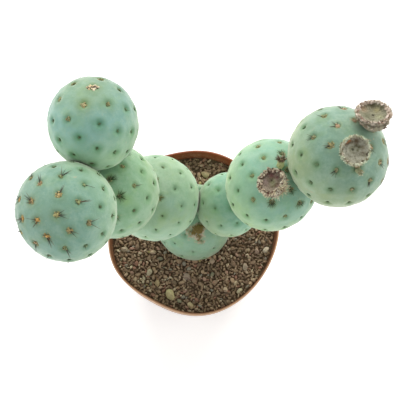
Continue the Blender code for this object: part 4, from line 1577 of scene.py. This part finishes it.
def scatter_twigs():
    """Bits of dry root and twig that lie on the grit."""
    rng = random.Random(GRIT_SEED + 1)
    base = BALLS["base_segment"]
    places = []
    while len(places) < TWIGS:
        reach = TWIG_REACH * math.sqrt(rng.random())
        turn = any_turn(rng)
        point = Vector((reach * math.cos(turn), reach * math.sin(turn), SOIL_LEVEL + TWIG_LIFT))
        lean = any_turn(rng)
        way = Vector((math.cos(lean), math.sin(lean), rng.uniform(-0.08, 0.12))).normalized()
        length = rng.uniform(*TWIG_LENGTH)
        end = point + way * length
        nearest = min((place - base.centre).length for place in (point, end))
        if nearest > base.radius + TWIG_CLEAR and math.hypot(end.x, end.y) < TWIG_REACH:
            axes = axes_along(way, rng.uniform(*TWIG_WIDTH), length)
            places.append((0, axes, point, pick(rng, TWIG_TONES)))
    return places


def make_stone():
    """Grit stones: the tone that each carries, speckled and dusty."""
    stone = Finish("grit_stone", "tone", Specular_IOR_Level=0.3)
    fine = stone.noise(0.0006, 4.0, 0.7)
    stone.coat(stone.ease(fine, 0.42, 0.75, 0.0, 0.5), (72, 56, 44))
    dust = stone.ease(stone.attribute("share"), 0.45, 1.0, 0.0, 0.22) * stone.noise(0.0022, 2.0) * 1.6
    stone.coat(dust, (190, 172, 148))
    stone.complete(0.78 + fine * 0.2, fine, 0.00025)
    return stone


def make_bed_soil():
    """Dark fines between the stones."""
    soil = Finish("bed_soil", Specular_IOR_Level=0.2, Roughness=0.95)
    fine = soil.noise(0.0009, 4.0, 0.7)
    soil.base = soil.between(fine, (60, 46, 34), (126, 104, 82))
    soil.complete(height=fine, depth=0.0006)
    return soil


def fine_section(section, steps):
    """A section with points added between its own on a smooth line."""
    count = len(section)
    line = []
    for i in range(count - 1):
        near = (section[max(i - 1, 0)], section[i], section[i + 1], section[min(i + 2, count - 1)])
        for k in range(steps):
            t = k / steps
            point = []
            for a, b, c, d in zip(*near):
                curve = (2 * a - 5 * b + 4 * c - d) * t ** 2 + (3 * b - a - 3 * c + d) * t ** 3
                point.append(0.5 * (2 * b + (c - a) * t + curve))
            line.append(tuple(point))
    return line + [section[-1]]


def bent_frame(growth, share):
    """A point on a growth's bent middle line, the direction there and two ways across it."""
    half = growth.length / 2
    foot = growth.foot.normalized()
    mouth = growth.mouth.normalized()
    bent = foot * half * (2 * share - share * share) + mouth * half * share * share
    way = foot.lerp(mouth, share).normalized()
    across = (Vector((1, 0, 0)) - way * way.x).normalized()
    return growth.point + bent, way, across, way.cross(across)


def bend_along(growth, points):
    """Carry points from a straight growth on the Z axis to its bent middle line."""
    moved = np.empty_like(points)
    for i, (x, y, z) in enumerate(points):
        point, _, across, up = bent_frame(growth, z / growth.length)
        moved[i] = point + across * x + up * y
    return moved


def lobe_heights(turn, rng):
    """How high the uneven lobes of a fruit's rim stand at each turn."""
    along = (turn / FULL_TURN + 0.5) * FRUIT_LOBES + 0.6 * np.sin(2 * turn + rng.uniform(*ROLL))
    sizes = draws(rng, FRUIT_LOBES + 3, 0.35, 1.45)
    return np.abs(np.sin(np.pi * along)) ** 0.55 * sizes[np.floor(along).astype(int) + 1]


def stained_and_shaded_dish(look, points):
    """Light of a fruit's dish at each point, as shares of the radius, with its stained spots and painted
    shadows.
    """
    lights = np.tile(light_of(look.dish), (len(points), 1))
    for x, y, spread, tone in look.stains_and_shadows:
        away = np.hypot(points[:, 0] - x, points[:, 1] - y)
        lights += bell(away, spread)[:, None] * (light_of(tone) - lights)
    return lights


def sculpt_cup(growth, points, ring_of, lobe, rough, waves, folds):
    """Give a cup its lobed rim and creased dish, and tell how far into the dish each point lies."""
    size = growth.radius
    crest = FRUIT_CREST * FRUIT_STEPS
    outer = ring_of <= crest
    turn = turn_of(points)
    radius = reach_of(points)
    near_crest = bell(ring_of - crest, CREST_RINGS)
    change = near_crest * (LOBE_OUT * lobe - LESS_OUT + CRUST_ROUGHNESS * rough)
    change = np.where(ring_of == 0, 0, change + FLANK_WAVE * waves + FLANK_ROUGHNESS * rough)
    share_in = np.where(outer, 0.0, np.clip(1 - radius / size, 0, 1))
    rings_in = np.sin(share_in * 24) * bell(share_in - 0.60, 0.25)
    creases = np.cos(21 * turn + 2 * np.sin(3 * turn)) * bell(share_in - 0.40, 0.18)
    sunk = RING_DEPTH * rings_in + CREASE_DEPTH * creases + DISH_WAVE * waves + DISH_WAVE * folds
    points[:, 2] += near_crest * size * (LOBE_UP * lobe - LESS_UP + CRUST_ROUGHNESS * rough)
    points[:, 2] += np.where(outer, 0, size * sunk)
    points[:, :2] *= ((radius + change * size) / np.maximum(radius, 1e-6))[:, None]
    upper = np.clip(2 * points[:, 2:] / growth.length, 0, 1)
    points[:, :2] *= 1 + (np.array(growth.squash) - 1) * upper
    points[:, :2] += (climb(share_in, 0, 0.35) * size)[:, None] * np.array(growth.dish)
    return share_in


def make_fruit(name, finish):
    """A dry cup-shaped fruit: a crusty lobed rim, a dish with faint rings and creases, and a pit."""
    growth = FRUITS[name]
    look = FRUIT_LOOKS[name]
    size, length = growth.radius, growth.length
    section = fine_section(FRUIT_SECTION, FRUIT_STEPS) + list(PIT_SECTION)
    rings = [(reach * size, share * length) for share, reach in section]
    piece = draw_out(name + "_cup", FRUIT_SIDES, rings)
    points = points_of(piece)
    ring_of = np.arange(len(points)) // FRUIT_SIDES
    crest = FRUIT_CREST * FRUIT_STEPS
    turn = turn_of(points)
    rng = random.Random(name + "_fine")
    rough = draws(rng, len(points), -1, 1)
    waves = lumps(points, CRUST_WAVE, name)
    folds = lumps(points, FOLD_SIZE, name + "_folds")
    lobe = lobe_heights(turn, rng)
    share_in = sculpt_cup(growth, points, ring_of, lobe, rough, waves, folds)
    near_crest = bell(ring_of - crest, CREST_RINGS)
    below = np.where(ring_of <= crest, 1 - ring_of / crest, 0.0)
    # Rusted inner wall, ringed with painted shade
    rust_and_shade_share = look.rust * bell(turn - RUST_AND_SHADE_TURN, RUST_AND_SHADE_WIDTH)
    carry(piece, "dish", share_in)
    carry(piece, "rust", rust_and_shade_share * bell(ring_of - crest - 10, 7.0))
    carry(piece, "crest", near_crest)
    carry(piece, "groove", near_crest * np.clip(1.0 - 1.3 * lobe, 0, 1))
    carry(piece, "flank", below)
    # Painted shadow in a band under the lip
    carry(piece, "seam", look.seam * bell(below - 0.26, 0.07) * np.clip(0.7 + waves, 0, 1))
    carry(piece, "dish_tone", stained_and_shaded_dish(look, points / size))
    for attribute, tone in (("rim_tone", look.rim), ("flank_tone", look.flank)):
        carry(piece, attribute, np.tile(light_of(tone), (len(points), 1)))
    move_points(piece, bend_along(growth, points))
    finish_piece(piece, finish, (name,), crease=70)


@dataclass
class Look:
    """Tones of a dry fruit's dish, rim and flank, how far its inner wall is rusted and ringed with painted
    shade, how dark the painted shadow under its lip is, and what its rim carries.

    Each stain of the dish has its middle and its spread, as shares of the radius, and its tone.
    Each row of scales has its share of the length, the least and most share of the radius, and a count.
    Each stain of the dish, some of them painted shadow, has its middle and its spread, as shares of the
    radius, and its tone.
    """
    dish: tuple
    rim: tuple
    flank: tuple
    rust: float
    fringe: float
    trail: float
    scale: float
    scales: tuple
    scale_tones: tuple
    bristles: tuple
    bristle_tones: tuple
    stains_and_shadows: tuple
    seam: float = 0.0


# Turns of a fruit at which its inner wall is rusted and ringed with painted shade, its fringe trails and
# its fringe is thin
RUST_AND_SHADE_TURN = 2.05
RUST_AND_SHADE_WIDTH = 0.62
TRAIL_TURN = -0.9
THIN_TURN = 1.8
FRUIT_LOOKS = {
    "dried_fruit_1": Look(
        (150, 149, 128), (200, 188, 174), (166, 158, 136), 0.25, 1.3, 0.0,
        0.00100, ((1.00, 0.82, 1.00, 130), (0.94, 0.96, 1.02, 80), (0.56, 0.93, 0.99, 70)),
        ((216, 202, 190), (204, 190, 174), (190, 172, 160), (172, 156, 138), (146, 122, 108),
         (226, 216, 204)),
        ((0.98, 0.93, 30), (0.74, 0.97, 18), (0.50, 0.90, 14)),
        ((214, 208, 190), (198, 190, 166), (150, 136, 114)),
        ((-0.36, -0.04, 0.28, (122, 124, 100)), (0.26, 0.46, 0.20, (164, 158, 118)),
         (-0.55, 0.46, 0.24, (156, 136, 110)), (0.36, -0.12, 0.22, (176, 178, 146)),
         (0.02, 0.66, 0.16, (112, 108, 84))),
        1.0),
    "dried_fruit_2": Look(
        (174, 174, 158), (184, 182, 156), (146, 146, 112), 1.0, 0.9, 0.0,
        0.00072, ((1.00, 0.90, 0.98, 110), (0.86, 0.97, 1.02, 40)),
        ((216, 222, 200), (204, 208, 182), (182, 180, 154), (204, 194, 176), (128, 118, 96)),
        ((0.98, 0.94, 56), (0.80, 0.98, 40), (0.50, 0.90, 14)),
        ((224, 236, 214), (214, 224, 198), (200, 204, 174), (140, 134, 104)),
        # Painted shadow among the stains: the dark arc right of the pit and the dark patch at the back
        ((-0.14, 0.12, 0.22, (158, 160, 136)), (0.12, 0.36, 0.11, (100, 98, 72)),
         (0.28, 0.22, 0.11, (96, 98, 70)), (0.20, 0.03, 0.09, (108, 108, 80)),
         (0.10, 0.62, 0.20, (108, 92, 68)), (0.52, 0.20, 0.14, (144, 138, 116)),
         (0.52, -0.12, 0.12, (142, 136, 118)))),
    "dried_fruit_3": Look(
        (146, 134, 118), (196, 184, 158), (160, 146, 114), 0.0, 1.2, 1.3,
        0.00080, ((1.00, 0.72, 0.98, 100), (0.86, 0.95, 1.00, 40)),
        ((230, 224, 204), (214, 202, 178), (190, 170, 152), (110, 84, 76)),
        ((0.98, 0.78, 34), (0.98, 0.93, 50), (0.74, 0.97, 26), (0.50, 0.90, 14)),
        ((244, 242, 224), (232, 224, 198), (214, 202, 168), (236, 222, 200), (92, 76, 56),
         (120, 84, 72)),
        # Painted shadow among the stains: the dark patch at the back, under the rim
        ((-0.05, 0.56, 0.26, (112, 74, 72)), (-0.45, 0.10, 0.28, (154, 136, 130)),
         (0.00, 0.06, 0.22, (134, 136, 104)), (0.12, -0.22, 0.20, (138, 138, 108)),
         (0.36, -0.30, 0.22, (128, 104, 90)), (0.34, 0.34, 0.14, (124, 86, 86)))),
}
PALE_BRISTLES = ((214, 214, 188), (196, 194, 160), (176, 162, 128))
DARK_BRISTLES = ((88, 70, 58), (108, 84, 72), (206, 176, 158), (146, 114, 102), (112, 118, 86))

# Buds: tones of side and mouth, and the count, length and tones of the bristles in a tuft
BUD_LOOKS = {
    "dried_bud_1": ((232, 238, 178), (118, 96, 74), 16, 0.0026, DARK_BRISTLES),
    "dried_bud_2": ((158, 164, 128), (142, 142, 110), 4, 0.0010, PALE_BRISTLES),
}


def rim_frame(growth, share, turn):
    """A point on a growth's bent middle line, its direction there, and the side way at a turn."""
    point, way, across, up = bent_frame(growth, share)
    wide, tall = growth.squash
    return point, way, across * math.cos(turn) * wide + up * math.sin(turn) * tall


def make_crust(name, finish):
    """Dry scales of husk, which stand in rows along a fruit's rim."""
    growth = FRUITS[name]
    look = FRUIT_LOOKS[name]
    rng = random.Random(name + "_crust")
    places = []
    for share, low, high, count in look.scales:
        for _ in range(count):
            point, way, side = rim_frame(growth, share, any_turn(rng))
            place = point + side * growth.radius * rng.uniform(low, high)
            sway = Vector(draws(rng, 3, -0.5, 0.5))
            lean = (way * rng.uniform(0.2, 1.0) + side * rng.uniform(0.2, 1.0) + sway).normalized()
            across = lean.cross(side).normalized()
            own = look.scale * rng.uniform(0.4, 1.0)
            axes = [lean * own, across * own * 1.4, lean.cross(across) * own * 0.8]
            if is_inside_box(place + side * own + way * own):
                shape = STONE_COUNT + rng.randrange(CHIP_COUNT)
                places.append((shape, axes, place, pick(rng, look.scale_tones)))
    lay_piece(name + "_crust", STONE_SHAPES, places, finish, 40)


def tuft_places(point, way, side, count, length, tones, rng):
    """Places of a tuft's bristles, which spread from one point."""
    places = []
    for _ in range(count):
        lean = (side + 0.5 * way + 0.6 * Vector(draws(rng, 3, -1, 1))).normalized()
        foot = point + Vector(draws(rng, 3, -BRISTLE_JITTER, BRISTLE_JITTER))
        own = length * rng.uniform(0.5, 1.2)
        if is_inside_box(foot + lean * own):
            places.append((1, axes_along(lean, BRISTLE_WIDTH, own), foot, pick(rng, tones)))
    return places


def make_fruit_bristles(name, finish):
    """Tufts of glochids round a fruit's rim and flank."""
    growth = FRUITS[name]
    look = FRUIT_LOOKS[name]
    rng = random.Random(name + "_bristles")
    places = []
    for share, reach, tufts in look.bristles:
        for i in range(tufts):
            turn = FULL_TURN * (i + rng.uniform(0.2, 0.8)) / tufts
            point, way, side = rim_frame(growth, share, turn)
            foot = point + side * growth.radius * reach
            trail = look.trail * max(0.0, math.cos(turn - TRAIL_TURN)) ** 2
            thin = 0.55 * max(0.0, math.cos(turn - THIN_TURN)) if look.trail else 0.0
            length = BRISTLE_LENGTH * look.fringe * (1 + trail) * (1 - thin)
            places += tuft_places(foot, way, side, 12, length, [rng.choice(look.bristle_tones)], rng)
    lay_piece(name + "_bristles", NEEDLE_SHAPES, places, finish, 60)


def make_bud(name, finish, hair):
    """A shrivelled bud: a short bent stub with wrinkles, and tufts at its mouth."""
    growth = BUDS[name]
    side, mouth, count, long, tones = BUD_LOOKS[name]
    section = fine_section(BUD_SECTION, 5) + [BUD_MOUTH]
    rings = [(reach * growth.radius, share * growth.length) for share, reach in section]
    piece = draw_out(name + "_stub", BUD_SIDES, rings)
    points = points_of(piece)
    turn = turn_of(points)
    rng = random.Random(name + "_fine")
    wrinkle = 0.10 * np.cos(7 * turn + 2.0) + 0.06 * np.cos(11 * turn)
    wrinkle += draws(rng, len(points), -0.04, 0.04)
    points[:, :2] *= (1 + wrinkle)[:, None]
    at_mouth = climb(points[:, 2] / growth.length, 0.80, 0.15)[:, None]
    carry(piece, "tone", light_of(side) + (light_of(mouth) - light_of(side)) * at_mouth)
    move_points(piece, bend_along(growth, points))
    finish_piece(piece, finish, (name,), crease=70)
    places = []
    for i in range(BUD_TUFTS):
        point, way, across = rim_frame(growth, 0.97, FULL_TURN * i / BUD_TUFTS)
        foot = point + across * growth.radius * (0.5 if i % 2 else 0.8)
        places += tuft_places(foot, way, across, count, long, tones, rng)
    lay_piece(name + "_bristles", NEEDLE_SHAPES, places, hair, 60)


def make_husk():
    """Dry husk: a crusty pale rim, a dish with faint rings, a rusted patch of inner wall ringed with
    painted shade, a painted shadow under the lip, and a flank.
    """
    husk = Finish("dry_husk", "dish_tone", Specular_IOR_Level=0.15, Sheen_Weight=0.2)
    fine = husk.noise(0.0006, 4.0, 0.7)
    cloud = husk.noise(0.0022, 3.0, 0.6)
    drawn = husk.noise(0.0030, 3.0, 0.6, place=husk.stretched((0.30, 1.0, 1.0)))
    husk.tint(husk.ease(drawn * 0.6 + fine * 0.4, 0.38, 0.58, 1.0, 0.0), (0.52, 0.50, 0.44))
    husk.coat(husk.ease(husk.attribute("dish"), 0.88, 0.98) * 0.4, (96, 84, 66))
    rust = husk.attribute("rust") * husk.ease(cloud, 0.34, 0.56)
    # Painted shade round the rusted patch, then the rusted patch itself
    husk.coat(husk.ease(rust, 0.05, 0.45) * 0.8, (104, 84, 60))
    husk.coat(husk.ease(rust, 0.45, 0.90) * 0.75, (178, 118, 72))
    flank = husk.ease(husk.attribute("flank") + (cloud - 0.5) * 0.5, 0.10, 0.60) * 0.9
    husk.coat(flank, husk.attribute("flank_tone", "Color"))
    crust = husk.ease(husk.attribute("crest") + (fine - 0.5) * 0.9, 0.45, 0.95) * 0.8
    husk.coat(crust, husk.attribute("rim_tone", "Color"))
    husk.coat(husk.ease(husk.attribute("groove"), 0.25, 0.75) * 0.75, (84, 68, 54))
    husk.coat(husk.ease(fine, 0.58, 0.76) * 0.45, (92, 76, 60))
    # Painted shadow under the lip
    husk.coat(husk.attribute("seam") * 0.85, (88, 66, 58))
    husk.complete(0.85 + fine * 0.1, fine * 0.7 + cloud * 0.3, 0.0006)
    return husk


def make_crumb():
    """Crumbs of husk: the tone that each carries, mottled."""
    crumb = Finish("dry_crumb", "tone", Specular_IOR_Level=0.1)
    fine = crumb.noise(0.0005, 3.0, 0.7)
    crumb.coat(crumb.ease(fine, 0.45, 0.75) * 0.5, (86, 70, 54))
    crumb.complete(0.85 + fine * 0.1, fine, 0.0003)
    return crumb


def make_stub():
    """A shrivelled bud: the tone that it carries, browner in its wrinkles."""
    stub = Finish("dry_stub", "tone", Specular_IOR_Level=0.2)
    fine = stub.noise(0.0007, 3.0, 0.6)
    stub.tint(stub.noise(0.0022, 2.0), (0.80, 0.80, 0.78))
    stub.coat(stub.ease(fine, 0.54, 0.74) * 0.5, (120, 96, 66))
    stub.complete(0.70 + fine * 0.2, fine, 0.0003)
    return stub


def make_floor():
    """A plain pale floor."""
    start_clean()
    bpy.ops.mesh.primitive_plane_add(size=6.0, location=(0, 0, 0))
    floor = settle(bpy.context.object, "floor")
    paper = Finish("pale_floor", Roughness=0.9, Specular_IOR_Level=0.1)
    paper.feed(paper.shader.inputs["Base Color"], (0.92, 0.93, 0.95, 1.0))
    paper.feed(paper.shader.inputs["Emission Color"], (1.0, 1.0, 0.99, 1.0))
    paper.feed(paper.shader.inputs["Emission Strength"], 0.40)
    floor.data.materials.append(paper.material)


def make_surroundings():
    """Soft studio surroundings: bright low round the sides and dimmer overhead."""
    world = bpy.context.scene.world or bpy.data.worlds.new("studio")
    bpy.context.scene.world = world
    world.use_nodes = True
    nodes = Nodes(world.node_tree)
    way = nodes.node("TexCoord", output="Generated")
    height = nodes.node("SeparateXYZ", inputs={0: way}, output="Z")
    strength = nodes.ease(height, 0.10, 0.95, 1.02, 0.40)
    background = world.node_tree.nodes["Background"]
    background.inputs["Color"].default_value = (1.0, 1.0, 0.985, 1.0)
    nodes.feed(background.inputs["Strength"], strength)


def add_softbox(name, place, size, power, tint):
    """A large soft lamp that faces the plant."""
    start_clean()
    bpy.ops.object.light_add(type="AREA", location=place)
    lamp = bpy.context.object
    lamp.name = name
    lamp.data.shape = "RECTANGLE"
    lamp.data.size, lamp.data.size_y = size
    lamp.data.energy = power
    lamp.data.color = tint
    aim = Vector((0, 0, LAMP_AIM)) - Vector(place)
    lamp.rotation_euler = aim.to_track_quat("-Z", "Y").to_euler()


def add_camera():
    """The camera at the photo's angle."""
    start_clean()
    bpy.ops.object.camera_add(location=CAMERA_PLACE, rotation=(CAMERA_TILT, 0, 0))
    camera = bpy.context.object
    camera.data.sensor_width = SENSOR
    camera.data.lens = CAMERA_LENS
    camera.data.clip_start = 0.01
    bpy.context.scene.camera = camera


cut_meeting_flats()
cut_seats()
AREOLES = {name: find_areoles(name) for name in BALLS}
WOOL_SHAPES = make_wool_shapes()
STONE_SHAPES = make_stone_shapes()
NEEDLE_SHAPES = [
    take_shape(draw_out("spine", 5, ((0.8, 0.0), (1.0, 0.12), (0.72, 0.5), (0.42, 0.8), (0.05, 1.0)))),
    take_shape(draw_out("hair", 3, ((1.0, 0.0), (0.08, 1.0)))),
]

add_camera()
make_floor()
make_surroundings()
for softbox in SOFTBOXES:
    add_softbox(*softbox)
bpy.context.scene.view_settings.view_transform = "Standard"

stone = make_stone()
make_pot(make_pot_plastic())
make_grit_bed(make_bed_soil())
lay_piece("grit_stones", STONE_SHAPES, scatter_grit(), stone, 28)
lay_piece("grit_twigs", NEEDLE_SHAPES, scatter_twigs(), stone, 60)
waxy_skin = make_waxy_skin()
wool = make_wool()
horn = make_horn()
for name in BALLS:
    make_ball(name, waxy_skin)
    make_pads(name, wool)
    make_spines(name, horn)
hair = make_hair()
husk = make_husk()
crumb = make_crumb()
for name in FRUITS:
    make_fruit(name, husk)
    make_crust(name, crumb)
    make_fruit_bristles(name, hair)
stub = make_stub()
for name in BUDS:
    make_bud(name, stub, hair)
